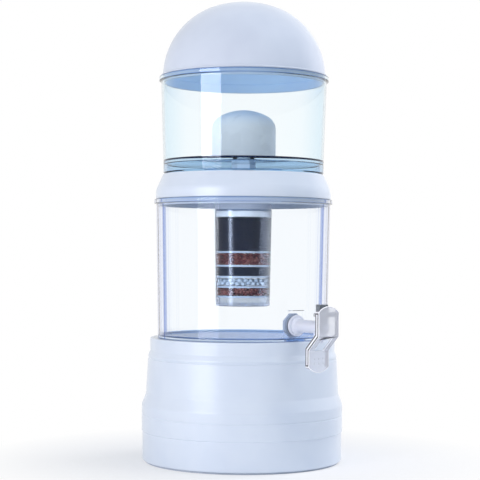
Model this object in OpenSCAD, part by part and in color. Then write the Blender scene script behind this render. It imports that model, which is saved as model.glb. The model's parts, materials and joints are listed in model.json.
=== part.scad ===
// Countertop gravity water filter: a hollow stand carries a clear lower tank with a push-lever tap, a
// shouldered collar closes that tank and seats a clear upper tank, and a domed lid covers the top. A
// ceramic dome filter stands on the upper tank's floor, and a layered mineral cartridge hangs below it.
// Millimetres. The origin is on the tanks' shared axis, at the surface that the stand rests on; +Z is up,
// and the tap points towards -Y, turned to the right.

/* [Base stand] */
// Height of the stand, to the rim around the lower tank
base_h = 184; // [150:1:230]
// Width of the rim around the lower tank's foot
base_rim_w = 11.4; // [8:0.1:16]
// How far the middle drum stands out from the rim, at its top and at its bottom
base_waist_out = 2.8; // [2:0.1:5]
base_hip_out = 5.8; // [5:0.1:9]
// How far the bottom drum stands out from the rim
base_drum_out = 11.9; // [10:0.1:30]
// Height of the top band
base_band_h = 19; // [10:1:30]
// Height at which the flare to the bottom drum starts, and where it ends
base_flare_top = 102; // [90:1:120]
base_flare_foot = 85.5; // [60:0.5:88]
// Height of the recessed plinth at the bottom, and how far it steps in
plinth_h = 46.5; // [20:0.5:55]
plinth_step = 1.2; // [0.5:0.1:2]
// Wall of the stand
base_wall = 3; // [2:0.5:5]
// Depth of the seat that the lower tank stands in
seat_depth = 9; // [5:1:14]
// Inner radius of the ledge that carries the lower tank
ledge_r = 98; // [60:1:110]
// Radial width and height of the rubber ring under the stand
foot_w = 12; // [8:1:20]
foot_h = 2.5; // [1.5:0.5:5]

/* [Tanks] */
// Outer radius of the lower tank under its flange, and how much smaller it is at its floor
lower_r = 130.3; // [127:0.1:157]
lower_draft = 3.7; // [1:0.1:6]
// Height of the lower tank, from the top of its floor to its rim
lower_h = 203; // [165:1:260]
// Outer radius of the upper tank under its flange, and how much smaller it is at its floor
upper_r = 123.9; // [103:0.1:125]
upper_draft = 4; // [2:0.1:8]
// Height of the upper tank, from the top of its floor to its rim
upper_h = 127; // [100:1:180]
// Wall and floor of both tanks
tank_wall = 3; // [2:0.1:4]
floor_t = 3; // [2:0.5:5]
// How far each tank's flange stands out from its wall, and its height
flange_out = 3; // [2:0.1:4]
flange_h = 6.5; // [4:0.5:10]
// Height of the skirt under the upper tank's floor
skirt_h = 25; // [20:1:32]
// How far the skirt is set in from the wall above it
skirt_inset = 1.6; // [0.5:0.1:2]

/* [Collar] */
// How far the collar's lower edge stands out from the lower tank's wall
collar_out = 0.5; // [0.5:0.1:2.5]
// Height of the collar
collar_h = 37; // [34:0.5:40]
// Wall of the collar, and width of its edge round the upper tank
collar_wall = 2.5; // [2:0.1:3]
collar_edge_w = 1.2; // [1:0.1:2.5]
// Height of the collar's upright lower edge, and radius of the curve between it and the sloping shoulder
collar_edge_h = 8; // [6:0.5:10]
collar_shoulder = 25; // [15:1:26]
// Height of the ring inside that the upper tank stands on
collar_seat_h = 27.5; // [24:0.5:30]
// Depth of the lip that reaches down into the lower tank
collar_lip = 10; // [5:1:20]

/* [Lid] */
// How far the dome's lower edge is set in from the upper tank's wall
lid_inset = 2.4; // [1:0.1:4]
// Height of the dome above its lower edge, as a share of its radius there
lid_rise = 0.92; // [0.8:0.01:0.97]
// How much smaller than that height the radius of the curve at the side of the dome is
lid_side_less = 1.8; // [1:0.1:20]
// Wall of the lid
lid_wall = 2.5; // [1.5:0.1:4]
// How far the edge of the lid stands out, and its height
lid_edge_out = 2.6; // [1:0.1:4]
lid_edge_h = 3; // [2:0.5:6]
// Depth of the lip that reaches down into the upper tank
lid_lip = 10; // [5:1:20]

/* [Ceramic dome filter] */
// Radius and height of the ceramic dome
ceramic_r = 48; // [40:0.5:58]
ceramic_h = 73; // [60:1:88]
// Height of its rounded top, and radius of the curve at the shoulder
ceramic_top_h = 29; // [27:1:34]
ceramic_shoulder = 22; // [16:1:24]
// Wall of the ceramic
ceramic_wall = 8; // [6:0.5:10]
// Radius of the threaded stem under it, and of the water passage through the stem
stem_r = 10; // [8:0.5:12]
stem_bore_r = 5; // [3:0.5:6]

/* [Mineral cartridge] */
// Outer radius of the cup at its rim, and how much smaller it is at its floor
cup_r = 43; // [35:0.1:52]
cup_draft = 2.5; // [0.5:0.1:4]
// Wall of the cup
cup_wall = 2; // [1.5:0.1:2.5]
// Height of the empty outlet chamber above the cup's floor
outlet_h = 10; // [6:1:14]
// Thickness of each divider screen
screen_t = 2.4; // [1.5:0.1:3]
// Heights of the layers, from the lowest to the highest
lower_balls_h = 12; // [6:0.5:20]
stones_h = 12.5; // [6:0.5:20]
sand_h = 14; // [6:0.5:20]
upper_balls_h = 18; // [6:0.5:30]
carbon_h = 50.5; // [30:0.5:70]
pad_h = 9.5; // [4:0.5:14]
// How far the cap is set in from the cup's rim, and its height above the cup
cap_inset = 0.7; // [0.5:0.1:1.5]
cap_h = 12; // [8:0.5:16]
// Radius of the neck above the cap
neck_r = 16; // [14:0.5:20]

/* [Tap] */
// Angle of the tap to the right of straight ahead, in degrees
tap_dir = 37; // [0:0.5:80]
// Height of the tap's axis above the lower tank's floor
tap_rise = 20; // [20:0.5:40]
// Radius of the threaded shank through the tank's wall
shank_r = 8; // [7:0.1:8.5]
// Radius and thickness of the flange outside the wall
tap_flange_r = 15.2; // [14:0.1:18]
tap_flange_t = 4; // [3:0.5:6]
// Radius of the barrel, and its length outside the flange
barrel_r = 9.25; // [8.9:0.05:9.6]
barrel_len = 54; // [50:1:64]
// Radius of the water chamber inside the barrel
chamber_r = 6.2; // [5.6:0.1:6.6]
// Radius of the spout's tip, and how far it reaches below the axis
spout_r = 6.5; // [6:0.1:7]
spout_drop = 22; // [18:1:24]
// Width across the flats and thickness of the eight-sided nut inside the tank
nut_flats = 34.5; // [28:0.5:38]
nut_t = 4.5; // [4:0.5:10]
// Radius and thickness of the two rubber washers
washer_r = 14; // [13:0.5:16]
washer_t = 1.6; // [1:0.1:3]
// Radius of the hinge post, and its height above the axis
post_r = 9; // [7:0.1:9.4]
post_h = 32; // [28:1:36]
// Height of the hinge pin above the axis, and its radius
pin_rise = 18; // [16:0.5:20]
pin_r = 1.5; // [1.2:0.1:2]
// Radius of the plunger's button
button_r = 3.2; // [2.5:0.1:3.6]

/* [Tap lever] */
// Width and wall of the lever
lever_w = 37; // [34:0.5:44]
lever_t = 2.8; // [2:0.1:3.5]
// Reach of the lever above the axis, and of its paddle below the axis
lever_top = 30; // [28:0.1:36]
lever_drop = 64; // [50:0.5:80]
// Heights below the axis at which the lever slants towards the tank, and ends its slant
slant_top = 12.5; // [8:0.1:14]
slant_foot = 32.5; // [27:0.1:34]
// How far the paddle is set back towards the tank
paddle_back = 21; // [16:0.5:24]
// Depth of the two side flanges, and their thickness
rail_d = 8; // [6:0.5:9]
rail_t = 2.4; // [1.5:0.1:3]
// Half the width of the slot that the spout passes through
slot_half = 8.5; // [7.5:0.1:10]
// Radius of the curved top and bottom edges
lever_curve = 24; // [22:0.5:40]

/* [Clearances] */
// Gap between pieces that lift apart, where one rests on the other
rest_gap = 0.3; // [0.1:0.1:0.8]
// Gap around lips and skirts that drop into another piece
lip_gap = 0.7; // [0.4:0.1:1.2]
// Radial gap of a turning or sliding fit
run_gap = 0.05; // [0.02:0.01:0.08]
// Radial gap where fixed pieces fit together
fit_gap = 0.25; // [0.1:0.05:0.4]

/* [Hidden] */
$fn = 96;
far = 400;
over = 1;
edge = 1;
tank_fillet = 2;

// heights of the stack, from the ground up
deck_z = base_h - seat_depth;
lower_floor_z = base_h + floor_t;
lower_rim_z = lower_floor_z + lower_h;
collar_z = lower_rim_z + rest_gap;
collar_top_z = collar_z + collar_h;
collar_plate_t = 3;
collar_seat_z = collar_z + collar_seat_h;
skirt_z = collar_seat_z + rest_gap;
upper_under_z = skirt_z + skirt_h;
upper_floor_z = upper_under_z + floor_t;
upper_rim_z = upper_floor_z + upper_h;
lid_z = upper_rim_z + rest_gap;

// radii of the tanks and of what follows them
lower_foot_r = lower_r - lower_draft;
upper_foot_r = upper_r - upper_draft;
skirt_r = upper_foot_r - skirt_inset;
collar_r = lower_r + collar_out;
collar_top_in_r = skirt_r + lip_gap;
lid_r = upper_r - lid_inset;
lid_h = lid_rise * lid_r;
lid_side_curve = lid_h - lid_side_less;
cup_foot_r = cup_r - cup_draft;
cap_r = cup_r - cap_inset;
base_top_r = lower_foot_r + base_rim_w;
base_waist_r = base_top_r + base_waist_out;
base_hip_r = base_top_r + base_hip_out;
base_r = base_top_r + base_drum_out;

// stand and lower tank
foot_ring_r = base_r - plinth_step;
base_edge = 3;
band_z = base_h - base_band_h;
waist_z = band_z - 7;
waist_groove = [base_waist_r + 0.4, band_z - 11];
drum_groove_top = base_flare_foot - 14;
drum_groove_h = 2;
drum_groove_depth = 0.5;
groove = 1;
rib_count = 8;
rib_drop = 26;
rib_in_r = ledge_r + 6;
rib_out_r = base_top_r - base_wall + 0.5;
foot_seat = 1;
tank_foot_r = lower_foot_r - 2;
collar_lip_r = lower_r - tank_wall - lip_gap;
collar_seat_r = skirt_r - tank_wall - 1.5;
collar_seat_w = tank_wall + 0.8;
lid_lip_r = upper_r - tank_wall - lip_gap;

// ceramic dome and what hangs from its stem
cap_t = 3;
seal_t = 2;
seal_w = 12;
dome_spigot_w = 2.75;
dome_spigot_h = 6;
lock_w = 8;
dome_z = upper_floor_z + seal_t + cap_t;
lock_t = 8;
lock_z = upper_under_z - lock_t;
neck_top_z = lock_z - rest_gap - seal_t;
stem_drop = 31;
cap_spigot_w = 2.5;
cap_hole_r = stem_r + 2;

// levels inside the cartridge, from its floor up
cup_floor_t = 3;
cup_rib_t = 2;
cup_rib_in_r = 24;
cup_hole_r = 4;
cup_small_hole_r = 2.5;
cup_small_hole_at = 13;
screen_hole_r = 2;
screen_hole_pitch = 11;
media_h = 5 * screen_t + lower_balls_h + stones_h + sand_h + upper_balls_h + carbon_h + pad_h;
cup_h = cup_floor_t + outlet_h + media_h + 2;
cup_top_z = lower_rim_z - 15;
cup_z = cup_top_z - cup_h;
screen_1_z = cup_z + cup_floor_t + outlet_h;
lower_balls_z = screen_1_z + screen_t;
screen_2_z = lower_balls_z + lower_balls_h;
stones_z = screen_2_z + screen_t;
screen_3_z = stones_z + stones_h;
sand_z = screen_3_z + screen_t;
screen_4_z = sand_z + sand_h;
upper_balls_z = screen_4_z + screen_t;
screen_5_z = upper_balls_z + upper_balls_h;
carbon_z = screen_5_z + screen_t;
pad_z = carbon_z + carbon_h;
cap_spigot_z = pad_z + pad_h;
collar_hole_r = max(cup_r, cap_r) + 5;

// tap, along its own axis: u is the distance from the tanks' axis
tap_z = lower_floor_z + tap_rise;
pad_out_u = lower_foot_r - 1.2;
pad_t = 3.2;
pad_in_u = pad_out_u - pad_t;
pad_depth = 10;
pad_half = 17;
pad_top = 21;
pad_foot = tap_rise - edge;
flange_u = pad_out_u + washer_t;
barrel_u = flange_u + tap_flange_t;
barrel_end_u = barrel_u + barrel_len;
shank_u = pad_in_u - washer_t - nut_t - 2;
seat_u = barrel_u + 19;
seat_t = 2;
seat_hole_r = 3.4;
shank_bore_r = 5.2;
seal_edge = 0.5;
spout_u = barrel_end_u - spout_r - 1.5;
spout_bore_r = 4.5;
spout_tip_h = 6;
spout_sleeve_t = 0.7;
head_t = 3.5;
head_spigot = 2;
post_u = barrel_end_u - 0.5;
pin_u = barrel_end_u + 5;
knuckle_r = 3.6;
knuckle_half = lever_w / 2 - rail_t - 0.5;
boss_r = pin_r + 2.8;
grip_r = 1.3;
grip_h = 0.6;
grip_y = [-8, 0, 8];
grip_z = [-51, -44];
lever_in_u = pin_u + 6.2;
lever_out_u = lever_in_u + lever_t;
paddle_u = lever_out_u - paddle_back;
tip_u = lever_in_u - rest_gap;
stop_t = 4;
stop_r = chamber_r - 1;
stop_u = barrel_end_u - head_spigot - rest_gap - stop_t;
valve_gap = 0.1;
seal_disc_t = 2;
seal_disc_u = seat_u - valve_gap - seal_disc_t;
seal_stud_r = seat_hole_r - 0.5;
seal_stud_u = seal_disc_u - 2.5;
seal_grip = 0.02;
rod_r = 1.6;
coil_wire_r = 0.45;
coil_r = chamber_r - coil_wire_r - 1.2;
coil_turns = 8;
coil_u = seat_u + seat_t + coil_wire_r + valve_gap;
coil_len = stop_u - coil_wire_r - valve_gap - coil_u;

// inner radius of the cup at height z
function cup_in_r(z) = cup_foot_r + (cup_r - cup_foot_r) * (z - cup_z) / cup_h - cup_wall;

// radius of the crown of a dome of base radius r and height h, tangent to a side curve
function crown_curve(r, h, side) = (pow(r - side, 2) + h * h - side * side) / (2 * (h - side));

module white_part() color([0.93, 0.95, 0.99]) children();
module clear_part() color([0.72, 0.86, 0.96, 0.35]) children();
module rubber_part() color([0.75, 0.78, 0.8]) children();

// half of a dome's section, standing on the x axis, thinned all over by inset
module dome_area(r, h, side, inset) {
    crown = crown_curve(r, h, side);
    crown_y = h - crown;
    lean = atan2(-crown_y, r - side);
    reach = 2 * r;
    intersection() {
        square([reach, reach]);
        union() {
            translate([r - side, 0]) circle(r = side - inset);
            intersection() {
                translate([0, crown_y]) circle(r = crown - inset);
                translate([0, crown_y])
                    polygon([[0, 0], [reach * cos(lean), reach * sin(lean)], [reach, reach], [0, reach]]);
            }
        }
    }
}

// a ring or tube of rectangular section
module tube(r_in, r_out, z0, z1)
    translate([0, 0, z0]) difference() {
        cylinder(h = z1 - z0, r = r_out);
        translate([0, 0, -over]) cylinder(h = z1 - z0 + 2 * over, r = r_in);
    }

// children in the tap's own frame: x away from the tanks, y across, z up from the tap's axis
module at_tap() rotate([0, 0, tap_dir - 90]) translate([0, 0, tap_z]) children();

module bar(u0, u1, r) translate([u0, 0, 0]) rotate([0, 90, 0]) cylinder(h = u1 - u0, r = r);

module cross_bar(u, z, half, r) translate([u, half, z]) rotate([90, 0, 0]) cylinder(h = 2 * half, r = r);

module base_stand() {
    seat_r = tank_foot_r + lip_gap;
    white_part() difference() {
        union() {
            rotate_extrude() difference() {
                polygon([[ledge_r, deck_z - base_wall], [ledge_r, deck_z], [seat_r, deck_z],
                         [seat_r, base_h - edge], [seat_r + edge, base_h],
                         [base_top_r - edge, base_h], [base_top_r, base_h - edge], [base_top_r, band_z],
                         [base_waist_r, waist_z], [base_hip_r, base_flare_top],
                         [base_r - 0.8 * edge, base_flare_foot + 1.5 * edge], [base_r, base_flare_foot],
                         [base_r, plinth_h], [foot_ring_r, plinth_h - plinth_step],
                         [foot_ring_r, foot_h + base_edge],
                         [foot_ring_r - base_edge, foot_h], [foot_ring_r - foot_w, foot_h],
                         [foot_ring_r - foot_w, foot_h + base_wall],
                         [foot_ring_r - base_wall, foot_h + base_wall],
                         [foot_ring_r - base_wall, plinth_h],
                         [base_r - base_wall, base_flare_foot - edge],
                         [base_hip_r - base_wall, base_flare_top],
                         [base_waist_r - base_wall, waist_z], [base_top_r - base_wall, band_z - base_wall],
                         [base_top_r - base_wall, deck_z - base_wall]]);
                translate(waist_groove) circle(r = groove);
            }
            for (i = [0:rib_count - 1]) rotate([0, 0, i * 360 / rib_count])
                translate([rib_in_r, -base_wall / 2, deck_z - base_wall - rib_drop])
                    cube([rib_out_r - rib_in_r, base_wall, rib_drop + 0.5]);
        }
        tube(base_r - drum_groove_depth, base_r + over, drum_groove_top - drum_groove_h, drum_groove_top);
    }
}

module base_foot_ring() rubber_part()
    tube(foot_ring_r - foot_w + foot_seat, foot_ring_r - base_edge - foot_seat, 0, foot_h);

module lower_tank() {
    flange_z = lower_rim_z - flange_h;
    clear_part() difference() {
        union() {
            rotate_extrude() polygon([
                [tank_foot_r - tank_wall, base_h], [tank_foot_r - tank_wall, deck_z + rest_gap],
                [tank_foot_r, deck_z + rest_gap], [tank_foot_r, base_h], [lower_foot_r, base_h + edge],
                [lower_r, flange_z - edge], [lower_r + flange_out, flange_z],
                [lower_r + flange_out, lower_rim_z - edge], [lower_r + flange_out - edge, lower_rim_z],
                [lower_r - tank_wall, lower_rim_z], [lower_foot_r - tank_wall, lower_floor_z + tank_fillet],
                [lower_foot_r - tank_wall - tank_fillet, lower_floor_z], [0, lower_floor_z], [0, base_h]]);
            intersection() {
                translate([0, 0, base_h]) cylinder(h = lower_h, r1 = lower_foot_r, r2 = lower_r);
                at_tap() translate([pad_in_u, -pad_half, -tap_rise - over])
                    cube([pad_depth, 2 * pad_half, tap_rise + over + pad_top]);
            }
        }
        at_tap() {
            translate([pad_out_u, -pad_half, -pad_foot]) cube([pad_depth, 2 * pad_half, pad_foot + pad_top]);
            bar(pad_in_u - over, pad_out_u + over, shank_r + fit_gap);
        }
    }
}

// half of the collar's section without its inside, thinned all over by inset: an upright edge, a curve
// and a straight slope that ends at the collar's top
module collar_area(inset) {
    arc = [collar_r - collar_shoulder, collar_z + collar_edge_h];
    reach = [collar_top_in_r + collar_edge_w, collar_top_z] - arc;
    slope = atan2(reach[1], reach[0]) - acos(collar_shoulder / norm(reach));
    bend = arc + (collar_shoulder - inset) * [cos(slope), sin(slope)];
    polygon([[0, collar_z], [collar_r - inset, collar_z], [collar_r - inset, arc[1]], bend,
             [bend[0] - (collar_top_z - bend[1]) * tan(slope), collar_top_z], [0, collar_top_z]]);
    intersection() {
        translate(arc) circle(r = collar_shoulder - inset);
        translate(arc) square([far, far]);
    }
}

module collar() {
    white_part() rotate_extrude() difference() {
        union() {
            intersection() {
                difference() {
                    collar_area(0);
                    collar_area(collar_wall);
                }
                translate([skirt_r, collar_z]) square([far, far]);
            }
            translate([collar_hole_r, collar_z])
                square([collar_r - collar_wall - collar_hole_r, collar_plate_t]);
            translate([collar_lip_r - collar_wall, collar_z - collar_lip])
                square([collar_wall, collar_lip + over]);
            translate([collar_seat_r, collar_z]) square([collar_seat_w, collar_seat_h]);
            translate([collar_hole_r, collar_z]) square([collar_wall, 2 * collar_plate_t]);
        }
        translate([0, collar_top_z]) square([far, far]);
        translate([0, collar_seat_z]) square([collar_top_in_r, far]);
    }
}

module upper_tank() {
    flange_z = upper_rim_z - flange_h;
    clear_part() difference() {
        rotate_extrude() polygon([
            [skirt_r - tank_wall, upper_under_z], [skirt_r - tank_wall, skirt_z], [skirt_r, skirt_z],
            [skirt_r, collar_top_z + edge], [upper_foot_r, collar_top_z + edge + skirt_inset],
            [upper_foot_r, upper_floor_z], [upper_r, flange_z - edge], [upper_r + flange_out, flange_z],
            [upper_r + flange_out, upper_rim_z - edge], [upper_r + flange_out - edge, upper_rim_z],
            [upper_r - tank_wall, upper_rim_z], [upper_foot_r - tank_wall, upper_floor_z + tank_fillet],
            [upper_foot_r - tank_wall - tank_fillet, upper_floor_z], [0, upper_floor_z],
            [0, upper_under_z]]);
        translate([0, 0, upper_under_z - over]) cylinder(h = floor_t + 2 * over, r = stem_r + fit_gap);
    }
}

module dome_lid() white_part() rotate_extrude() {
    difference() {
        union() {
            translate([0, lid_z]) dome_area(lid_r, lid_h, lid_side_curve, 0);
            translate([0, lid_z]) square([lid_r + lid_edge_out, lid_edge_h]);
        }
        translate([0, lid_z - over]) square([lid_r - lid_wall, over + 0.01]);
        translate([0, lid_z]) dome_area(lid_r, lid_h, lid_side_curve, lid_wall);
    }
    translate([lid_lip_r - lid_wall, lid_z - lid_lip]) square([lid_wall, lid_lip + lid_edge_h]);
}

module ceramic_dome() color([0.95, 0.95, 0.93]) {
    shoulder_z = dome_z + ceramic_h - ceramic_top_h;
    tube(ceramic_r - ceramic_wall, ceramic_r, dome_z, shoulder_z);
    rotate_extrude() translate([0, shoulder_z]) difference() {
        dome_area(ceramic_r, ceramic_top_h, ceramic_shoulder, 0);
        dome_area(ceramic_r, ceramic_top_h, ceramic_shoulder, ceramic_wall);
    }
}

module dome_base_cap() color([0.9, 0.92, 0.94]) difference() {
    spigot_r = ceramic_r - ceramic_wall - fit_gap;
    union() {
        translate([0, 0, dome_z - cap_t]) cylinder(h = cap_t, r = ceramic_r - edge);
        translate([0, 0, dome_z - cap_t - seal_t - floor_t - stem_drop])
            cylinder(h = seal_t + floor_t + stem_drop + over, r = stem_r);
        tube(spigot_r - dome_spigot_w, spigot_r, dome_z - over, dome_z + dome_spigot_h);
    }
    translate([0, 0, dome_z - far]) cylinder(h = 2 * far, r = stem_bore_r);
}

module dome_seal_washer() rubber_part()
    tube(stem_r + fit_gap, stem_r + seal_w, upper_floor_z, upper_floor_z + seal_t);

module dome_lock_nut() white_part() translate([0, 0, lock_z]) difference() {
    cylinder(h = lock_t, r = stem_r + lock_w, $fn = 6);
    translate([0, 0, -over]) cylinder(h = lock_t + 2 * over, r = stem_r + run_gap);
}

module cartridge_cup() clear_part() difference() {
    union() {
        rotate_extrude() polygon([[0, cup_z], [cup_foot_r - edge, cup_z], [cup_foot_r, cup_z + edge],
            [cup_r, cup_top_z], [cup_r - cup_wall, cup_top_z],
            [cup_in_r(cup_z + cup_floor_t), cup_z + cup_floor_t], [0, cup_z + cup_floor_t]]);
        for (a = [45:90:315]) rotate([0, 0, a])
            translate([cup_rib_in_r, -cup_rib_t / 2, cup_z + cup_floor_t - cup_rib_t / 4])
                cube([cup_in_r(cup_z) + cup_rib_t / 4 - cup_rib_in_r, cup_rib_t, outlet_h + cup_rib_t / 4]);
    }
    for (a = [0:60:300]) rotate([0, 0, a]) translate([cup_small_hole_at, 0, cup_z - over])
        cylinder(h = cup_floor_t + 2 * over, r = cup_small_hole_r);
    translate([0, 0, cup_z - over]) cylinder(h = cup_floor_t + 2 * over, r = cup_hole_r);
}

module cartridge_cap() {
    spigot_r = cup_in_r(cap_spigot_z) - fit_gap;
    color([0.55, 0.62, 0.7]) {
        tube(spigot_r - cap_spigot_w, spigot_r, cap_spigot_z, cup_top_z + over);
        tube(spigot_r - cap_spigot_w, cap_r, cup_top_z, cup_top_z + cap_h);
        tube(cap_hole_r, cap_r, cup_top_z + cap_h - cap_t, cup_top_z + cap_h);
        tube(stem_r + run_gap, neck_r, cup_top_z + cap_h - cap_t, neck_top_z);
    }
}

module cartridge_seal() rubber_part()
    tube(stem_r + fit_gap, neck_r - edge, neck_top_z, neck_top_z + seal_t);

// a layer that fills the cup from height z, h tall
module cup_layer(z, h, gap)
    translate([0, 0, z]) cylinder(h = h, r1 = cup_in_r(z) - gap, r2 = cup_in_r(z + h) - gap);

module cotton_pad() color([0.95, 0.95, 0.95]) cup_layer(pad_z, pad_h, fit_gap);
module carbon_bed() color([0.12, 0.13, 0.16]) cup_layer(carbon_z, carbon_h, fit_gap);
module mineral_balls_upper() color([0.5, 0.27, 0.24]) cup_layer(upper_balls_z, upper_balls_h, fit_gap);
module mineral_sand() color([0.17, 0.2, 0.24]) cup_layer(sand_z, sand_h, fit_gap);
module silica_stones() color([0.72, 0.75, 0.78]) cup_layer(stones_z, stones_h, fit_gap);
module mineral_balls_lower() color([0.5, 0.27, 0.24]) cup_layer(lower_balls_z, lower_balls_h, fit_gap);

// one perforated disc
module screen(z) difference() {
    cup_layer(z, screen_t, fit_gap);
    for (ring = [1:2]) for (i = [0:6 * ring - 1]) rotate([0, 0, i * 60 / ring])
        translate([screen_hole_pitch * ring, 0, z - over])
            cylinder(h = screen_t + 2 * over, r = screen_hole_r);
}

module divider_screens() color([0.8, 0.85, 0.9])
    for (z = [screen_1_z, screen_2_z, screen_3_z, screen_4_z, screen_5_z]) screen(z);

module tap_body() white_part() at_tap() difference() {
    union() {
        bar(shank_u, flange_u + over, shank_r);
        bar(flange_u, barrel_u, tap_flange_r);
        bar(barrel_u - over, barrel_end_u, barrel_r);
        translate([spout_u, 0, -spout_drop]) cylinder(h = spout_drop, r = spout_r);
        translate([spout_u, 0, spout_tip_h - spout_drop])
            cylinder(h = spout_drop - spout_tip_h, r = spout_r + spout_sleeve_t);
    }
    bar(shank_u - over, seat_u, shank_bore_r);
    bar(seat_u - over, seat_u + seat_t + over, seat_hole_r);
    bar(seat_u + seat_t, barrel_end_u + over, chamber_r);
    translate([spout_u, 0, -spout_drop - over]) cylinder(h = spout_drop + over, r = spout_bore_r);
}

module tap_nut() color([0.6, 0.68, 0.78]) at_tap() difference() {
    translate([pad_in_u - washer_t - nut_t, 0, 0]) rotate([0, 90, 0]) rotate([0, 0, 22.5])
        cylinder(h = nut_t, r = nut_flats / 2 / cos(22.5), $fn = 8);
    bar(shank_u, pad_in_u, shank_r + run_gap);
}

// one rubber washer whose inner face is at u
module washer(u) rubber_part() at_tap() difference() {
    bar(u, u + washer_t, washer_r);
    bar(u - over, u + washer_t + over, shank_r + fit_gap);
}
module tap_inner_washer() washer(pad_in_u - washer_t);
module tap_outer_washer() washer(pad_out_u);

module tap_head() color([0.62, 0.66, 0.7]) at_tap() difference() {
    union() {
        bar(barrel_end_u, barrel_end_u + head_t, barrel_r);
        bar(barrel_end_u - head_spigot, barrel_end_u + over, chamber_r - fit_gap);
        difference() {
            translate([post_u, 0, 0]) cylinder(h = post_h, r = post_r);
            bar(barrel_end_u - far, barrel_end_u, barrel_r + run_gap);
            translate([barrel_end_u + head_t, -far / 2, -over]) cube([far, far, barrel_r + over]);
            translate([barrel_end_u - far, -far / 2, -over]) cube([far, far, barrel_r + over]);
        }
        cross_bar(pin_u, pin_rise, knuckle_half, knuckle_r);
    }
    bar(barrel_end_u - far, barrel_end_u + head_t + over, button_r + run_gap);
    cross_bar(pin_u, pin_rise, lever_w, pin_r + run_gap);
}

module tap_plunger() color([0.92, 0.93, 0.95]) at_tap() rotate([0, 90, 0]) rotate_extrude() polygon([
    [0, seal_stud_u], [seal_stud_r, seal_stud_u], [seal_stud_r, seal_disc_u], [rod_r, seal_disc_u],
    [rod_r, stop_u], [stop_r, stop_u], [stop_r, stop_u + stop_t], [button_r, stop_u + stop_t],
    [button_r, tip_u - edge], [button_r - 0.7 * edge, tip_u - 0.3 * edge], [button_r - 1.7 * edge, tip_u],
    [0, tip_u]]);

module tap_valve_seal() rubber_part() at_tap() difference() {
    bar(seal_disc_u, seal_disc_u + seal_disc_t, shank_bore_r - seal_edge);
    bar(seal_disc_u - over, seal_disc_u + seal_disc_t + over, rod_r + seal_grip);
}

// round wire wound around the tap's axis
module tap_spring() {
    sides = 8;
    steps = 18;
    rings = coil_turns * steps;
    points = [for (i = [0:rings], k = [0:sides - 1])
        let (turn = 360 * i / steps, side = 360 * k / sides, r = coil_r + coil_wire_r * cos(side))
        [coil_u + coil_len * i / rings + coil_wire_r * sin(side), r * cos(turn), r * sin(turn)]];
    skin = [for (i = [0:rings - 1], k = [0:sides - 1]) let (n = (k + 1) % sides)
        [i * sides + k, i * sides + n, (i + 1) * sides + n, (i + 1) * sides + k]];
    caps = [[for (k = [sides - 1:-1:0]) k], [for (k = [0:sides - 1]) rings * sides + k]];
    color("silver") at_tap() polyhedron(points, concat(skin, caps));
}

// side view of the lever, from its outer face to a line set back by depth
module lever_side(depth) {
    turn = atan2(paddle_back, slant_foot - slant_top);
    rise = depth * tan(turn / 2);
    polygon([[lever_out_u, lever_top], [lever_out_u, -slant_top], [paddle_u, -slant_foot],
             [paddle_u, -lever_drop], [paddle_u - depth, -lever_drop], [paddle_u - depth, rise - slant_foot],
             [lever_out_u - depth, rise - slant_top], [lever_out_u - depth, lever_top]]);
}

// a side-view shape as a solid between two distances across the lever
module across(y0, y1) translate([0, y1, 0]) rotate([90, 0, 0]) linear_extrude(y1 - y0) children();

// front view of the lever, with its curved top and bottom edges
module lever_front() intersection() {
    translate([-lever_w / 2, -lever_drop]) square([lever_w, lever_drop + lever_top]);
    union() {
        translate([0, lever_top - lever_curve]) circle(r = lever_curve);
        translate([-far / 2, lever_top - lever_curve - far]) square([far, far]);
    }
    union() {
        translate([0, lever_curve - lever_drop]) circle(r = lever_curve);
        translate([-far / 2, lever_curve - lever_drop]) square([far, far]);
    }
}

module tap_lever() clear_part() at_tap() difference() {
    union() {
        intersection() {
            union() {
                across(-lever_w / 2, lever_w / 2) lever_side(lever_t);
                for (side = [-1, 1]) translate([0, side * (lever_w - rail_t) / 2, 0])
                    across(-rail_t / 2, rail_t / 2) lever_side(rail_d);
            }
            rotate([90, 0, 90]) linear_extrude(far) lever_front();
        }
        for (side = [-1, 1]) translate([0, side * (lever_w - rail_t) / 2, 0])
            cross_bar(pin_u, pin_rise, rail_t / 2, boss_r);
        for (y = grip_y, z = grip_z) translate([0, y, z]) bar(paddle_u - over, paddle_u + grip_h, grip_r);
    }
    cross_bar(pin_u, pin_rise, lever_w, pin_r + seal_grip);
    translate([paddle_u - paddle_back, -slot_half, -slant_foot])
        cube([3 * paddle_back, 2 * slot_half, slant_foot - slant_top - edge]);
}

module tap_lever_pin() color("silver") at_tap() cross_bar(pin_u, pin_rise, lever_w / 2, pin_r);

base_stand();
base_foot_ring();
lower_tank();
collar();
upper_tank();
dome_lid();
ceramic_dome();
dome_base_cap();
dome_seal_washer();
dome_lock_nut();
cartridge_cup();
cartridge_cap();
cartridge_seal();
cotton_pad();
carbon_bed();
mineral_balls_upper();
mineral_sand();
silica_stones();
mineral_balls_lower();
divider_screens();
tap_body();
tap_nut();
tap_inner_washer();
tap_outer_washer();
tap_head();
tap_plunger();
tap_valve_seal();
tap_spring();
tap_lever();
tap_lever_pin();
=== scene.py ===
"""Looks of a countertop gravity water filter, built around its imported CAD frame.

Every class below is one sub-assembly of the filter: its fields are sizes in millimetres and its methods build
its meshes and dress them. Places come from the frame's own nodes and joints. Blender's units are metres, in
the frame's axes: +Z up, and the tap towards -Y, turned to the right.
"""
import json
import logging
import math
from collections.abc import Callable, Iterable, Sequence
from dataclasses import dataclass, field
from enum import Enum, IntEnum

import bmesh
import bpy
import numpy as np
from mathutils import Matrix, Vector

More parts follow.
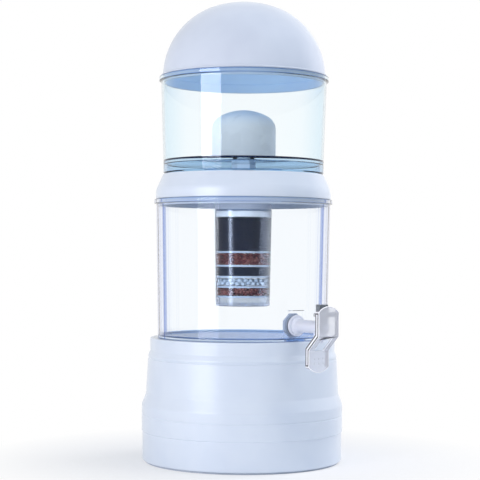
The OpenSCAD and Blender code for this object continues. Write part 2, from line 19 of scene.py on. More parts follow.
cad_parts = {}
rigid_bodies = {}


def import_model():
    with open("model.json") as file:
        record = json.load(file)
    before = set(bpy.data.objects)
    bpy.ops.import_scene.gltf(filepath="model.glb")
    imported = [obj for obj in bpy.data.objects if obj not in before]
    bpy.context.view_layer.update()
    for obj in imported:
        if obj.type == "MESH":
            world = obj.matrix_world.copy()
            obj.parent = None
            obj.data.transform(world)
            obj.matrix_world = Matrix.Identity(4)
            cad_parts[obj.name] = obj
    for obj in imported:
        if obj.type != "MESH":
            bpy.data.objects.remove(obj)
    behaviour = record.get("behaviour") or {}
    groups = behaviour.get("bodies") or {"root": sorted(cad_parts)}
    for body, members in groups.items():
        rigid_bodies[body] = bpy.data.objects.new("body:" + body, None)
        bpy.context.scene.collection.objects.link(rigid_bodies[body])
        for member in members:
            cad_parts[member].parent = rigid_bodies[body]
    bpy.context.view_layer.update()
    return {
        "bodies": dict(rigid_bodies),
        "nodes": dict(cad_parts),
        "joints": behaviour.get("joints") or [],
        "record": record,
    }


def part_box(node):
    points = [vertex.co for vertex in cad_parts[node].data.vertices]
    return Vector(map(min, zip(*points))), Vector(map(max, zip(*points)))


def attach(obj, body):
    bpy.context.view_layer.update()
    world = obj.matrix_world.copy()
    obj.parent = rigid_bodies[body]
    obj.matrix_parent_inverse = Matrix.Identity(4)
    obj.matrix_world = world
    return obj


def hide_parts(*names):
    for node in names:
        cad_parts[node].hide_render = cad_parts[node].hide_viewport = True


LOG = logging.getLogger("water_filter")
MM = 0.001
# Millimetres of clearance between pieces that stand on each other.
PLAY = 0.3
# How wide the ring of the dome's washer is round the stem, in millimetres.
WASHER_W = 12.0
# The distance between thread crests, in millimetres.
THREAD_PITCH = 2.0
# Stretches in each rounded corner, in a dome's section, and between two upright grooves of the tank.
CORNER_STEPS = 5
DOME_STEPS = 40
GROOVE_STEPS = 8
# The most of a side that one rounding takes, and half the angle from which a corner counts as straight.
MOST_OF_SIDE = 0.49
STRAIGHT = 0.49 * math.pi
# Points closer than this become one, in metres; edges sharper than these shade as edges or are rounded.
WELD = 1e-7
SHARP_EDGE = math.radians(40)
ROUNDED_EDGE = math.radians(28)
# How many different grains a bed is made of.
GRAIN_KINDS = 12
# The finish index of what is seen in shade.
SHADED = 1


class Around(IntEnum):
    """How many sections a turned piece has, by its size and its ripples."""

    TANK = 192
    CUP = 128
    BARREL = 96
    PIN = 64
    DOT = 32
    NUT = 256


class Operation(str, Enum):
    """How one closed mesh works on another."""

    CUT = "DIFFERENCE"
    JOIN = "UNION"


class Body(str, Enum):
    """The frame's moving bodies."""

    STAND = "stand"
    LOWER = "lower_vessel"
    COLLAR = "collar_ring"
    UPPER = "upper_vessel"
    CARTRIDGE = "cartridge"
    LID = "lid"
    HANDLE = "tap_handle"


class Slot(str, Enum):
    """The record's material slots."""

    WHITE_ABS = "white_abs"
    CLEAR_TANK = "clear_tank"
    CLEAR_CUP = "clear_cup"
    CLEAR_LEVER = "clear_lever"
    CERAMIC = "ceramic"
    CAP_GREY = "cap_grey"
    RUBBER = "rubber"
    COTTON = "cotton"
    CARBON = "carbon"
    CLAY_BALLS = "clay_balls"
    MINERAL_SAND = "mineral_sand"
    QUARTZ = "quartz"
    SCREEN = "screen"
    TAP_WHITE = "tap_white"
    TAP_GREY = "tap_grey"
    NUT_PLASTIC = "nut_plastic"


# ---------------------------------------------------------------------------------------------- colour, nodes


def linear(colour: str) -> tuple[float, float, float, float]:
    """Turns an sRGB hex colour into Blender's linear RGBA.

    Args:
        colour: six hex digits, with or without a leading #.

    Returns:
        The linear red, green, blue and an alpha of 1.
    """
    digits = colour.lstrip("#")
    parts = [int(digits[i : i + 2], 16) / 255 for i in (0, 2, 4)]
    red, green, blue = (p / 12.92 if p <= 0.04045 else ((p + 0.055) / 1.055) ** 2.4 for p in parts)
    return red, green, blue, 1.0


def add(tree: bpy.types.NodeTree, kind: str, inputs: dict | None = None,
        stops: Sequence[tuple[float, str]] = (), **settings: object) -> bpy.types.Node:
    """Adds one shader node with its settings, its input values and its links.

    Args:
        tree: the material's or world's node tree.
        kind: the node's type name.
        inputs: input socket name or index to a value, or to the output socket that feeds it.
        stops: a colour ramp's positions from 0 to 1, each with its sRGB hex colour.
        settings: attributes of the node.

    Returns:
        The new node.
    """
    node = tree.nodes.new(kind)
    for key, value in settings.items():
        setattr(node, key, value)
    for socket, value in (inputs or {}).items():
        if isinstance(value, bpy.types.NodeSocket):
            tree.links.new(value, node.inputs[socket])
        else:
            node.inputs[socket].default_value = value
    if stops:
        elements = node.color_ramp.elements
        while len(elements) < len(stops):
            elements.new(0.5)
        for element, (place, colour) in zip(elements, stops):
            element.position = place
            element.color = linear(colour)
    return node


def new_material(name: str) -> bpy.types.Material:
    """Makes an empty node material.

    Args:
        name: the real material's name.

    Returns:
        The material, with no nodes in its tree.
    """
    material = bpy.data.materials.new(name)
    material.use_nodes = True
    material.node_tree.nodes.clear()
    return material


def seen_rays(tree: bpy.types.NodeTree) -> bpy.types.NodeSocket:
    """Tells which rays find plain white around the filter: to the eye, off gloss and through clear parts.

    Args:
        tree: the world's or the floor's node tree.

    Returns:
        The output that is 1 for those rays and 0 for the rest.
    """
    rays = add(tree, "ShaderNodeLightPath")
    total = rays.outputs["Is Camera Ray"]
    for kind in ("Is Glossy Ray", "Is Transmission Ray"):
        total = add(tree, "ShaderNodeMath", {0: total, 1: rays.outputs[kind]}, operation="ADD",
                    use_clamp=True).outputs[0]
    return total


# ------------------------------------------------------------------------------------------------- finishes


@dataclass(frozen=True)
class MouldedPlastic:
    """An opaque injection-moulded plastic: even colour, faint mottle, and a soft orange peel."""

    name: str
    colour: str
    shade: str
    roughness: float = 0.3
    mottle_mm: float = 60.0
    peel_mm: float = 9.0
    peel_depth: float = 0.04
    ior: float = 1.53
    gloss: float = 0.5
    gloss_blur: float = 0.2
    gloss_ior: float = 1.5

    def make(self) -> bpy.types.Material:
        """Builds the material.

        Returns:
            The node material.
        """
        material = new_material(self.name)
        tree = material.node_tree
        place = add(tree, "ShaderNodeTexCoord").outputs["Object"]
        mottle = add(tree, "ShaderNodeTexNoise", {
            "Vector": place, "Scale": 1 / (self.mottle_mm * MM), "Detail": 2.0})
        colour = add(tree, "ShaderNodeValToRGB", {"Fac": mottle.outputs["Fac"]},
                     stops=[(0.35, self.shade), (0.65, self.colour)])
        peel = add(tree, "ShaderNodeTexNoise", {
            "Vector": place, "Scale": 1 / (self.peel_mm * MM), "Detail": 1.0})
        bump = add(tree, "ShaderNodeBump", {
            "Height": peel.outputs["Fac"], "Strength": self.peel_depth, "Distance": MM})
        shader = add(tree, "ShaderNodeBsdfPrincipled", {
            "Base Color": colour.outputs["Color"], "Normal": bump.outputs["Normal"], "IOR": self.ior,
            "Roughness": self.roughness, "Coat Weight": self.gloss, "Coat Roughness": self.gloss_blur,
            "Coat IOR": self.gloss_ior})
        add(tree, "ShaderNodeOutputMaterial", {"Surface": shader.outputs["BSDF"]})
        return material


@dataclass(frozen=True)
class ClearPlastic:
    """A clear moulded plastic, tinted from face-on to grazing, as more of it lies along the line of sight."""

    name: str
    tints: tuple[tuple[float, str], ...] | str
    ior: float = 1.57
    roughness: float = 0.01
    depth_tint: str = "#E4F1FB"
    depth: float = 4.0
    mirror: str = "#595C63"
    clarity: float = 1.0
    shade: str = "#F7FAFE"

    def make(self) -> bpy.types.Material:
        """Builds the material.

        Returns:
            The node material.
        """
        material = new_material(self.name)
        tree = material.node_tree
        if isinstance(self.tints, str):
            colour = linear(self.tints)
        else:
            facing = add(tree, "ShaderNodeLayerWeight", {"Blend": 0.5}).outputs["Facing"]
            colour = add(tree, "ShaderNodeValToRGB", {"Fac": facing}, stops=self.tints).outputs["Color"]
        clear = add(tree, "ShaderNodeBsdfPrincipled", {
            "Base Color": colour, "Transmission Weight": self.clarity, "IOR": self.ior,
            "Roughness": self.roughness, "Specular Tint": linear(self.mirror)})
        pass_through = add(tree, "ShaderNodeBsdfTransparent", {"Color": linear(self.shade)})
        rays = add(tree, "ShaderNodeLightPath")
        mixed = add(tree, "ShaderNodeMixShader", {
            0: rays.outputs["Is Shadow Ray"], 1: clear.outputs["BSDF"], 2: pass_through.outputs["BSDF"]})
        body = add(tree, "ShaderNodeVolumeAbsorption", {
            "Color": linear(self.depth_tint), "Density": self.depth})
        add(tree, "ShaderNodeOutputMaterial", {
            "Surface": mixed.outputs["Shader"], "Volume": body.outputs["Volume"]})
        return material


@dataclass(frozen=True)
class Granular:
    """A loose or fired mineral: each grain keeps its own tone, with a fine pitted surface."""

    name: str
    tones: tuple[str, ...]
    roughness: float = 0.7
    tone_mm: float = 4.0
    pit_mm: float = 0.8
    pit_depth: float = 0.4
    pit_drop_mm: float = 0.3
    coat: float = 0.0

    def make(self) -> bpy.types.Material:
        """Builds the material.

        Returns:
            The node material.
        """
        material = new_material(self.name)
        tree = material.node_tree
        place = add(tree, "ShaderNodeTexCoord").outputs["Object"]
        cells = add(tree, "ShaderNodeTexVoronoi", {"Vector": place, "Scale": 1 / (self.tone_mm * MM)})
        split = add(tree, "ShaderNodeSeparateColor", {"Color": cells.outputs["Color"]})
        steps = [(i / max(1, len(self.tones) - 1), tone) for i, tone in enumerate(self.tones)]
        colour = add(tree, "ShaderNodeValToRGB", {"Fac": split.outputs["Red"]}, stops=steps)
        pits = add(tree, "ShaderNodeTexNoise", {
            "Vector": place, "Scale": 1 / (self.pit_mm * MM), "Detail": 3.0})
        bump = add(tree, "ShaderNodeBump", {
            "Height": pits.outputs["Fac"], "Strength": self.pit_depth, "Distance": self.pit_drop_mm * MM})
        shader = add(tree, "ShaderNodeBsdfPrincipled", {
            "Base Color": colour.outputs["Color"], "Roughness": self.roughness,
            "Normal": bump.outputs["Normal"], "Coat Weight": self.coat})
        add(tree, "ShaderNodeOutputMaterial", {"Surface": shader.outputs["BSDF"]})
        return material


@dataclass(frozen=True)
class DrawnSteel:
    """Stainless steel wire or rod: a metal with fine scratches along the drawing direction."""

    name: str
    colour: str = "#B9BCC0"
    scratch_mm: float = 0.4

    def make(self) -> bpy.types.Material:
        """Builds the material.

        Returns:
            The node material.
        """
        material = new_material(self.name)
        tree = material.node_tree
        place = add(tree, "ShaderNodeTexCoord").outputs["Object"]
        scratches = add(tree, "ShaderNodeTexNoise", {
            "Vector": place, "Scale": 1 / (self.scratch_mm * MM), "Detail": 2.0})
        rough = add(tree, "ShaderNodeMapRange", {
            "Value": scratches.outputs["Fac"], "To Min": 0.2, "To Max": 0.38})
        shader = add(tree, "ShaderNodeBsdfPrincipled", {
            "Base Color": linear(self.colour), "Metallic": 1.0, "Roughness": rough.outputs["Result"]})
        add(tree, "ShaderNodeOutputMaterial", {"Surface": shader.outputs["BSDF"]})
        return material


class Finishes:
    """Every material of the filter, made once and kept by the name of the real material."""

    def __init__(self) -> None:
        """Makes the materials."""
        made = [
            # Glossy moulded ABS: cool white, with a lavender cast in its shade and soft lamp reflections.
            MouldedPlastic("moulded_white_abs", "#E3ECF5", "#DDE7F2", roughness=0.32),
            # Painted shade: a copy of the white ABS for the lid, coloured a shade greyer to stand for less
            # light on it.
            MouldedPlastic("lid_abs_painted_shade", "#DBE3EE", "#D5DDE9", roughness=0.32),
            # Painted shade: the same ABS inside the lid and collar, coloured darker and bluer for the shade
            # it is seen in through blue plastic.
            MouldedPlastic("shaded_white_abs", "#C0D6EB", "#B8CEE7", roughness=0.5, gloss=0.0),
            # Painted shade for the same ABS under the collar, paler.
            MouldedPlastic("shaded_collar_abs", "#D6E3F3", "#CDDBEF", roughness=0.5, gloss=0.0),
            # Clear SAN, injection moulded: nearly colourless face on, with blue lines near its edges.
            ClearPlastic("clear_san", (
                (0.0, "#FBFDFF"), (0.36, "#FBFDFF"), (0.37, "#F2F6FC"), (0.385, "#FBFDFF"),
                (0.485, "#F8FBFF"), (0.5, "#D9E2F3"), (0.515, "#F5F8FE"), (0.585, "#EEF3FC"),
                (0.6, "#7088CE"), (0.625, "#7088CE"), (0.64, "#EEF1FA"), (0.8, "#E6E9F7"),
                (0.86, "#9FA6D6"), (0.96, "#B0AEDA"))),
            # The same SAN in the smaller tank, whose thin walls only turn a pale cyan towards their edges.
            ClearPlastic("clear_san_pale", (
                (0.0, "#FBFEFF"), (0.3, "#F8FDFF"), (0.75, "#DDF0FA"), (0.86, "#DDF0FA"), (0.93, "#C4D3E6")),
                mirror="#9FA4AE"),
            # The floor and skirt of the upper tank, where several blue-tinted walls lie behind each other.
            ClearPlastic("clear_san_floor", (
                (0.0, "#CFE4F4"), (0.6, "#CFE4F4"), (0.85, "#86AAD4"), (0.95, "#9FBDE0"))),
            # The lower tank's floor, seen nearly edge on: hardly a reflection, and a blue band, partly the
            # plastic's own blue and partly painted shade for the stand seen through it.
            ClearPlastic("clear_san_deep_and_shade", (
                (0.0, "#DDE9F8"), (0.7, "#C3D9F6"), (0.9, "#A5C6F1"), (0.97, "#A0C2F0")),
                ior=1.02, clarity=0.5),
            # The upper tank's rims and corners, which gather the plastic's blue into dark lines.
            ClearPlastic("clear_san_rim", (
                (0.0, "#A9C4EC"), (0.45, "#A9C4EC"), (0.68, "#5878B4"), (0.9, "#6C88BE"))),
            # Painted shade: the corner round the upper tank's floor is coloured dark navy and nearly opaque,
            # for the thin line where the light is trapped.
            ClearPlastic("clear_san_painted_shade_line", "#141F42", clarity=0.1),
            # The lower tank's rims, thinner, and paler where they are seen edge on.
            ClearPlastic("clear_san_lip", (
                (0.0, "#D7E3F5"), (0.45, "#D7E3F5"), (0.68, "#93AFDD"), (0.9, "#A8BCE2"))),
            # Clear styrene of the cartridge cup, a little grey and satin.
            ClearPlastic("clear_styrene", (
                (0.0, "#FAFBFD"), (0.62, "#F4F6FA"), (0.74, "#8A94AB"), (0.95, "#7C879F")),
                ior=1.55, roughness=0.14, mirror="#8A8F99"),
            # The cup's frosted foot below the lowest screen: a blue-grey haze.
            ClearPlastic("frosted_styrene", (
                (0.0, "#E2E9F1"), (0.62, "#D9E1EC"), (0.74, "#8A94AB"), (0.95, "#7C879F")),
                ior=1.55, roughness=0.14, clarity=0.7, mirror="#8A8F99"),
            # Painted shade: the corner of the cup's foot, coloured a little greyer and half opaque for the
            # dark line along it.
            ClearPlastic("styrene_painted_shade_line", "#9AA7BC", ior=1.55, clarity=0.4),
            # The cup's inner wall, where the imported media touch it: no reflection, so they fill the cup.
            ClearPlastic("styrene_contact", "#FFFFFF", ior=1.0, depth_tint="#E9EEF4"),
            # Translucent polycarbonate of the lever, milky from its satin mould, greyer when seen aslant.
            ClearPlastic("clear_polycarbonate", (
                (0.0, "#F1F3F7"), (0.58, "#F1F3F7"), (0.68, "#E3E3E8"), (0.9, "#E6E7EC")),
                ior=1.58, roughness=0.1, depth_tint="#F4F4F8", clarity=0.6),
            # Painted shade: the borders of the lever's side walls are coloured nearly black, for the dark
            # that they pipe to the eye from around them.
            ClearPlastic("polycarbonate_painted_dark_edge", ((0.0, "#141213"), (1.0, "#101010")),
                         ior=1.3, roughness=0.3, mirror="#202020", clarity=0.1),
            # Painted highlight: the lever's rounded corners and the middles of its sides are coloured plain
            # white, for the white around them that they catch.
            ClearPlastic("polycarbonate_painted_glint", "#FFFFFF", ior=1.58, clarity=0.0),
            # Unglazed fired ceramic: matt, chalky and grey-white, slightly uneven.
            Granular("fired_ceramic", ("#CBD8E2", "#D0DDE7", "#D4E1EA"),
                     roughness=0.85, tone_mm=14, pit_mm=1.2, pit_depth=0.15),
            # Blue-grey moulded plastic of the cartridge cap.
            MouldedPlastic("moulded_grey_styrene", "#9AA9C2", "#909FB8", roughness=0.35),
            # White wadding: soft, fibrous and almost shadowless.
            Granular("cotton_wadding", ("#F2F3F6", "#FAFAFC"),
                     roughness=1.0, tone_mm=1.5, pit_mm=0.5, pit_depth=0.9),
            # Granular carbon: blue-black, with a dull sheen on the broken faces.
            Granular("granular_carbon", ("#1B2233", "#262E42", "#343D54", "#1F2739"),
                     roughness=0.45, tone_mm=2.6),
            # Fired clay balls: red-brown, from plum to brick.
            Granular("fired_clay", ("#70393C", "#9A504C", "#C98276", "#4E292E", "#B06056"),
                     roughness=0.75, tone_mm=5.2),
            # Dark mineral sand: blue-black and fine.
            Granular("mineral_sand", ("#1D283B", "#283549", "#344258", "#1B2535"),
                     roughness=0.6, tone_mm=1.6),
            # Quartz pebbles: pale grey, waxy and slightly glossy.
            Granular("quartz_pebble", ("#CBD3DB", "#DDE3E8", "#B9C3CD", "#EDF1F4"),
                     roughness=0.35, tone_mm=8, pit_depth=0.2, coat=0.4),
            # Moulded white screens, blue-white at their rims.
            MouldedPlastic("moulded_screen", "#D6DFEA", "#C8D3E1", roughness=0.5, gloss=0.1),
            # White moulded plastic of the tap, with a lavender cast.
            MouldedPlastic("moulded_tap_white", "#ECEFF8", "#E6EAF5", roughness=0.28),
            # Grey moulded plastic of the tap's head, mottled by the regrind in it.
            MouldedPlastic("moulded_tap_grey", "#8A9096", "#60676E", roughness=0.4, mottle_mm=2.5, gloss=0.2),
            # Blue-grey nylon of the tap's nut.
            MouldedPlastic("moulded_nut_nylon", "#C6D2E6", "#BAC8DF", roughness=0.5, gloss=0.1),
            # Silicone rubber: pale, matt and slightly dusty.
            MouldedPlastic("silicone_rubber", "#BCC5D2", "#B1BAC8", roughness=0.75, gloss=0.0, peel_mm=2.0),
            # Stainless steel of the spring and the hinge pin.
            DrawnSteel("stainless_steel"),
        ]
        self._by_name = {finish.name: finish.make() for finish in made}

    def __getitem__(self, name: str) -> bpy.types.Material:
        """Returns the material of that name."""
        return self._by_name[name]


# ---------------------------------------------------------------------------------------------- mesh building


@dataclass(frozen=True)
class Turn:
    """A corner of a section outline: radius, height, rounding, and the finishes after it and of its curve."""

    r: float
    z: float
    rounded: float = 0.0
    face: int = 0
    rim: int | None = None


def rounded_outline(turns: Sequence[Turn]) -> tuple[list[tuple[float, float]], list[int]]:
    """Rounds the corners of a closed outline.

    Args:
        turns: the corners, in order.

    Returns:
        The outline's points, and the finish index of the stretch that starts at each point.
    """
    points, faces = [], []
    count = len(turns)
    for i, turn in enumerate(turns):
        corner = Vector((turn.r, turn.z))
        before = Vector((turns[i - 1].r, turns[i - 1].z)) - corner
        after = Vector((turns[(i + 1) % count].r, turns[(i + 1) % count].z)) - corner
        half = before.angle(after) / 2 if before.length and after.length else math.pi / 2
        reach = min(turn.rounded / math.tan(half), MOST_OF_SIDE * before.length, MOST_OF_SIDE * after.length)
        if turn.rounded <= 0 or reach < WELD / MM or half > STRAIGHT:
            points.append((turn.r, turn.z))
            faces.append(turn.face)
            continue
        start, end = corner + before.normalized() * reach, corner + after.normalized() * reach
        radius = reach * math.tan(half)
        middle = (before.normalized() + after.normalized()).normalized()
        centre = corner + middle * math.hypot(radius, reach)
        first, last = start - centre, end - centre
        sweep = first.angle_signed(last)
        for k in range(CORNER_STEPS + 1):
            turned = Matrix.Rotation(-sweep * k / CORNER_STEPS, 2) @ first
            points.append(tuple(centre + turned))
            faces.append(turn.face if k == CORNER_STEPS or turn.rim is None else turn.rim)
    return points, faces


def mesh_object(name: str, verts: Iterable, faces: Iterable,
                finish: Sequence[int] | None = None) -> bpy.types.Object:
    """Makes a closed, smooth-shaded mesh object from points in millimetres.

    Args:
        name: the piece's name.
        verts: the points, in millimetres.
        faces: tuples of point numbers.
        finish: the material index of each face, or None for the first.

    Returns:
        The linked object.
    """
    mesh = bpy.data.meshes.new(name)
    mesh.from_pydata([tuple(c * MM for c in v) for v in verts], [], list(faces))
    if finish is not None:
        mesh.polygons.foreach_set("material_index", list(finish))
    work = bmesh.new()
    work.from_mesh(mesh)
    bmesh.ops.remove_doubles(work, verts=work.verts, dist=WELD)
    bmesh.ops.recalc_face_normals(work, faces=work.faces)
    work.to_mesh(mesh)
    work.free()
    mesh.polygons.foreach_set("use_smooth", [True] * len(mesh.polygons))
    mesh.set_sharp_from_angle(angle=SHARP_EDGE)
    piece = bpy.data.objects.new(name, mesh)
    bpy.context.scene.collection.objects.link(piece)
    return piece


def even_shading(piece: bpy.types.Object) -> bpy.types.Object:
    """Keeps broad faces flat beside their rounded edges, by weighting the shading normals by area.

    Args:
        piece: the mesh object.

    Returns:
        The same object.
    """
    weighted = piece.modifiers.new("even_shading", "WEIGHTED_NORMAL")
    weighted.keep_sharp = True
    return piece


def lathe(name: str, turns: Sequence[Turn], around: int = Around.TANK,
          ripple: Callable[[float, float, float], float] | None = None) -> bpy.types.Object:
    """Turns a closed section outline about the z axis.

    Args:
        name: the piece's name.
        turns: the corners of the section; a stretch on the axis closes a solid piece.
        around: how many sections there are in a full turn.
        ripple: what to add to the radius, from the radius, the height and the angle.

    Returns:
        The mesh object.
    """
    points, outline_faces = rounded_outline(turns)
    verts, rings = [], []
    for r, z in points:
        if r < WELD:
            rings.append([len(verts)] * around)
            verts.append((0.0, 0.0, z))
            continue
        rings.append(list(range(len(verts), len(verts) + around)))
        for k in range(around):
            angle = 2 * math.pi * k / around
            radius = r + (ripple(r, z, angle) if ripple else 0.0)
            verts.append((radius * math.cos(angle), radius * math.sin(angle), z))
    faces, finish = [], []
    for i, ring in enumerate(rings):
        following = rings[(i + 1) % len(rings)]
        if ring[0] == ring[1] and following[0] == following[1]:
            continue
        for k in range(around):
            n = (k + 1) % around
            quad = [ring[k], ring[n], following[n], following[k]]
            faces.append(tuple(dict.fromkeys(quad)))
            finish.append(outline_faces[i])
    return even_shading(mesh_object(name, verts, faces, finish))


def prism(name: str, outline: Sequence[tuple[float, float]], low: float, high: float,
          upright: bool = False) -> bpy.types.Object:
    """Extrudes an outline in the local x-z plane along y, or one in the x-y plane along z.

    Args:
        name: the piece's name.
        outline: x and z of the corners, or x and y, in order.
        low: where the extrusion starts.
        high: where it ends.
        upright: whether it goes along z.

    Returns:
        The mesh object.
    """
    count = len(outline)
    verts = [(x, other, end) if upright else (x, end, other) for end in (low, high) for x, other in outline]
    sides = [(i, (i + 1) % count, count + (i + 1) % count, count + i) for i in range(count)]
    return mesh_object(name, verts, [*sides, tuple(range(count)), tuple(range(count, 2 * count))])


def bevelled(piece: bpy.types.Object, width: float, segments: int = 3, finish: int = -1) -> bpy.types.Object:
    """Rounds a piece's sharp edges.

    Args:
        piece: the mesh object.
        width: how wide the rounding is, in millimetres.
        segments: how many strips it has.
        finish: the material index of the rounding, or -1 for the faces' own.

    Returns:
        The same object.
    """
    edge = piece.modifiers.new("rounded_edges", "BEVEL")
    edge.width = width * MM
    edge.segments = segments
    edge.limit_method = "ANGLE"
    edge.angle_limit = ROUNDED_EDGE
    edge.harden_normals = True
    edge.use_clamp_overlap = False
    edge.material = finish
    return piece


def joined(name: str, pieces: Sequence[bpy.types.Object]) -> bpy.types.Object:
    """Joins mesh objects, with their modifiers applied, into one.

    Args:
        name: the name of the result.
        pieces: the objects, which are removed.

    Returns:
        The joined object.
    """
    bpy.context.view_layer.update()
    graph = bpy.context.evaluated_depsgraph_get()
    work = bmesh.new()
    for piece in pieces:
        work.from_mesh(bpy.data.meshes.new_from_object(piece.evaluated_get(graph)))
    mesh = bpy.data.meshes.new(name)
    work.to_mesh(mesh)
    work.free()
    for piece in pieces:
        bpy.data.objects.remove(piece)
    whole = bpy.data.objects.new(name, mesh)
    bpy.context.scene.collection.objects.link(whole)
    return whole


def cut_mesh(piece: bpy.types.Object, tool: bpy.types.Object, operation: Operation) -> None:
    """Cuts or fuses a piece with a tool, which is removed.

    Args:
        piece: the object that changes.
        tool: the object that cuts it or joins it.
        operation: which of the two the tool does.
    """
    step = piece.modifiers.new(operation.name, "BOOLEAN")
    step.operation = operation.value
    step.object = tool
    step.solver = "EXACT"
    bpy.context.view_layer.update()
    graph = bpy.context.evaluated_depsgraph_get()
    mesh = bpy.data.meshes.new_from_object(piece.evaluated_get(graph))
    piece.modifiers.clear()
    piece.data = mesh
    bpy.data.objects.remove(tool)


@dataclass(frozen=True)
class Grain:
    """A kind of grain: its usual diameter in millimetres, its icosphere subdivisions and its unevenness."""

    size: float
    facets: int
    uneven: float
    least_thick: float

    def mould(self, random: np.random.Generator) -> tuple[np.ndarray, list]:
        """Makes one grain of unit radius.

        Args:
            random: the random generator.

        Returns:
            The grain's points, and its faces.
        """
        work = bmesh.new()
        bmesh.ops.create_icosphere(work, subdivisions=self.facets, radius=1.0)
        points = np.array([v.co for v in work.verts])
        faces = [tuple(v.index for v in f.verts) for f in work.faces]
        work.free()
        points = points * (1 - self.uneven * random.random((len(points), 1)))
        points[:, 2] *= self.least_thick + (1 - self.least_thick) * random.random()
        return points, faces

    def scatter(self, name: str, centres: np.ndarray, radii: np.ndarray,
                random: np.random.Generator) -> bpy.types.Object:
        """Makes a bed of separate grains as one piece.

        Args:
            name: the piece's name.
            centres: where each grain is, in millimetres.
            radii: each grain's radius, in millimetres.
            random: the random generator.

        Returns:
            The mesh object.
        """
        moulds = [self.mould(random) for _ in range(GRAIN_KINDS)]
        verts, faces, start = [], [], 0
        for centre, radius in zip(centres, radii):
            points, triangles = moulds[random.integers(GRAIN_KINDS)]
            turn, _ = np.linalg.qr(random.normal(size=(3, 3)))
            verts.append(points @ turn * radius + centre)
            faces.extend(tuple(start + i for i in face) for face in triangles)
            start += len(points)
        return mesh_object(name, np.concatenate(verts), faces)


def thread(radius: float, low: float, high: float, depth: float, marks: tuple[float, ...]) -> list[Turn]:
    """Gives the section of a row of thread grooves.

    Args:
        radius: the crests' radius.
        low: where the row starts.
        high: where it ends.
        depth: how deep the grooves are.
        marks: where in each pitch a groove starts, is deepest and ends.

    Returns:
        The section's corners.
    """
    turns = []
    for k in range(int((high - low) / THREAD_PITCH)):
        z = low + k * THREAD_PITCH
        turns += [Turn(radius - dip, z + mark) for mark, dip in zip(marks, (0.0, depth, 0.0))]
    return turns


def dome_section(radius: float, height: float, side: float, inset: float, base: float) -> list[Turn]:
    """Gives a dome's section, from its foot to its crown.

    Args:
        radius: the dome's radius at its foot.
        height: its height.
        side: the radius of the curve at its side.
        inset: how far inside the dome's surface the curve lies.
        base: the height of the dome's foot.

    Returns:
        The curve's points.
    """
    crown = ((radius - side) ** 2 + height ** 2 - side ** 2) / (2 * (height - side))
    centre = height - crown
    lean = math.atan2(-centre, radius - side)
    turns = []
    for k in range(DOME_STEPS + 1):
        angle = math.pi / 2 * k / DOME_STEPS
        if angle < lean:
            r, z = radius - side + (side - inset) * math.cos(angle), (side - inset) * math.sin(angle)
        else:
            r, z = (crown - inset) * math.cos(angle), centre + (crown - inset) * math.sin(angle)
        turns.append(Turn(0.0 if k == DOME_STEPS else r, base + z))
    return turns


# ------------------------------------------------------------------------------------------- frame and pieces


@dataclass(frozen=True)
class Node:
    """Where a CAD node is: its lowest and highest corners, in millimetres."""

    low: Vector
    high: Vector

    @classmethod
    def of(cls, name: str) -> "Node":
        """Reads a node's box from the frame."""
        low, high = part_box(name)
        return cls(low / MM, high / MM)

    @property
    def radius(self) -> float:
        """The radius of a node that is round about the tanks' axis."""
        return (self.high.x - self.low.x) / 2

    @property
    def foot(self) -> float:
        """The height of its underside."""
        return self.low.z

    @property
    def top(self) -> float:
        """The height of its top."""
        return self.high.z


def stem_radius() -> float:
    """Gives the radius of the ceramic dome's threaded stem, from the washer round it."""
    return Node.of("dome_seal_washer").radius - WASHER_W


@dataclass(frozen=True)
class TapAxes:
    """The tap's own axes: u away from the tanks, w across, and its height above the ground."""

    out: Vector
    across: Vector
    height: float
    pin_u: float
    pin_z: float

    @classmethod
    def of(cls, joints: Sequence[dict]) -> "TapAxes":
        """Reads the tap's axes from its lever's hinge and its nut.

        Args:
            joints: the frame's joints.

        Returns:
            The axes.
        """
        hinge = next(j for j in joints if j["child"] == Body.HANDLE.value)
        across = Vector(hinge["axis"]).normalized()
        out = across.cross(Vector((0, 0, 1)))
        place = Vector(hinge["pos_m"]) / MM
        nut = Node.of("tap_nut")
        return cls(out, across, (nut.foot + nut.top) / 2, place.dot(out), place.z)

    def upright(self) -> Matrix:
        """Turns x, y, z of a piece into u, w and height above the tap's axis."""
        rows = Matrix((self.out, self.across, Vector((0, 0, 1)))).transposed().to_4x4()
        return Matrix.Translation((0, 0, self.height * MM)) @ rows

    def along(self) -> Matrix:
        """Turns a piece that was turned about z so that its z runs outward along the tap's axis."""
        return self.upright() @ Matrix.Rotation(math.pi / 2, 4, "Y")

    def on_pin(self, start: Matrix) -> Matrix:
        """Lays a piece that was turned about z along the lever's pin, and then moves it by start."""
        place = Matrix.Translation((self.pin_u * MM, 0, (self.pin_z - self.height) * MM))
        return start @ place @ Matrix.Rotation(-math.pi / 2, 4, "X")


@dataclass
class Assembly:
    """What every sub-assembly shares: the materials, and how its pieces join the frame."""

    finishes: Finishes

    def settle(self, piece: bpy.types.Object, body: Body, slot: Slot, materials: Sequence[str],
               node: str) -> None:
        """Dresses a piece, makes it ride on a body and lets it stand for a CAD node.

        Args:
            piece: the mesh object, in place.
            body: the body it rides on.
            slot: the record's slot of its finish; not used.
            materials: its materials, by index.
            node: the CAD node that it replaces.
        """
        for name in materials[len(piece.data.materials):]:
            piece.data.materials.append(self.finishes[name])
        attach(piece, body.value)
        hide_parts(node)
        LOG.info("%s: %d faces", piece.name, len(piece.data.polygons))

    def dress_nodes(self, frame: dict, nodes: dict[str, Sequence[str]]) -> None:
        """Gives CAD nodes that stay as they are a material.

        Args:
            nodes: material name to the names of the nodes in it.
        """
        for material, names in nodes.items():
            for name in names:
                slots = frame["nodes"][name].data.materials
                slots.clear()
                slots.append(self.finishes[material])
                LOG.info("%s: CAD node in %s", name, material)


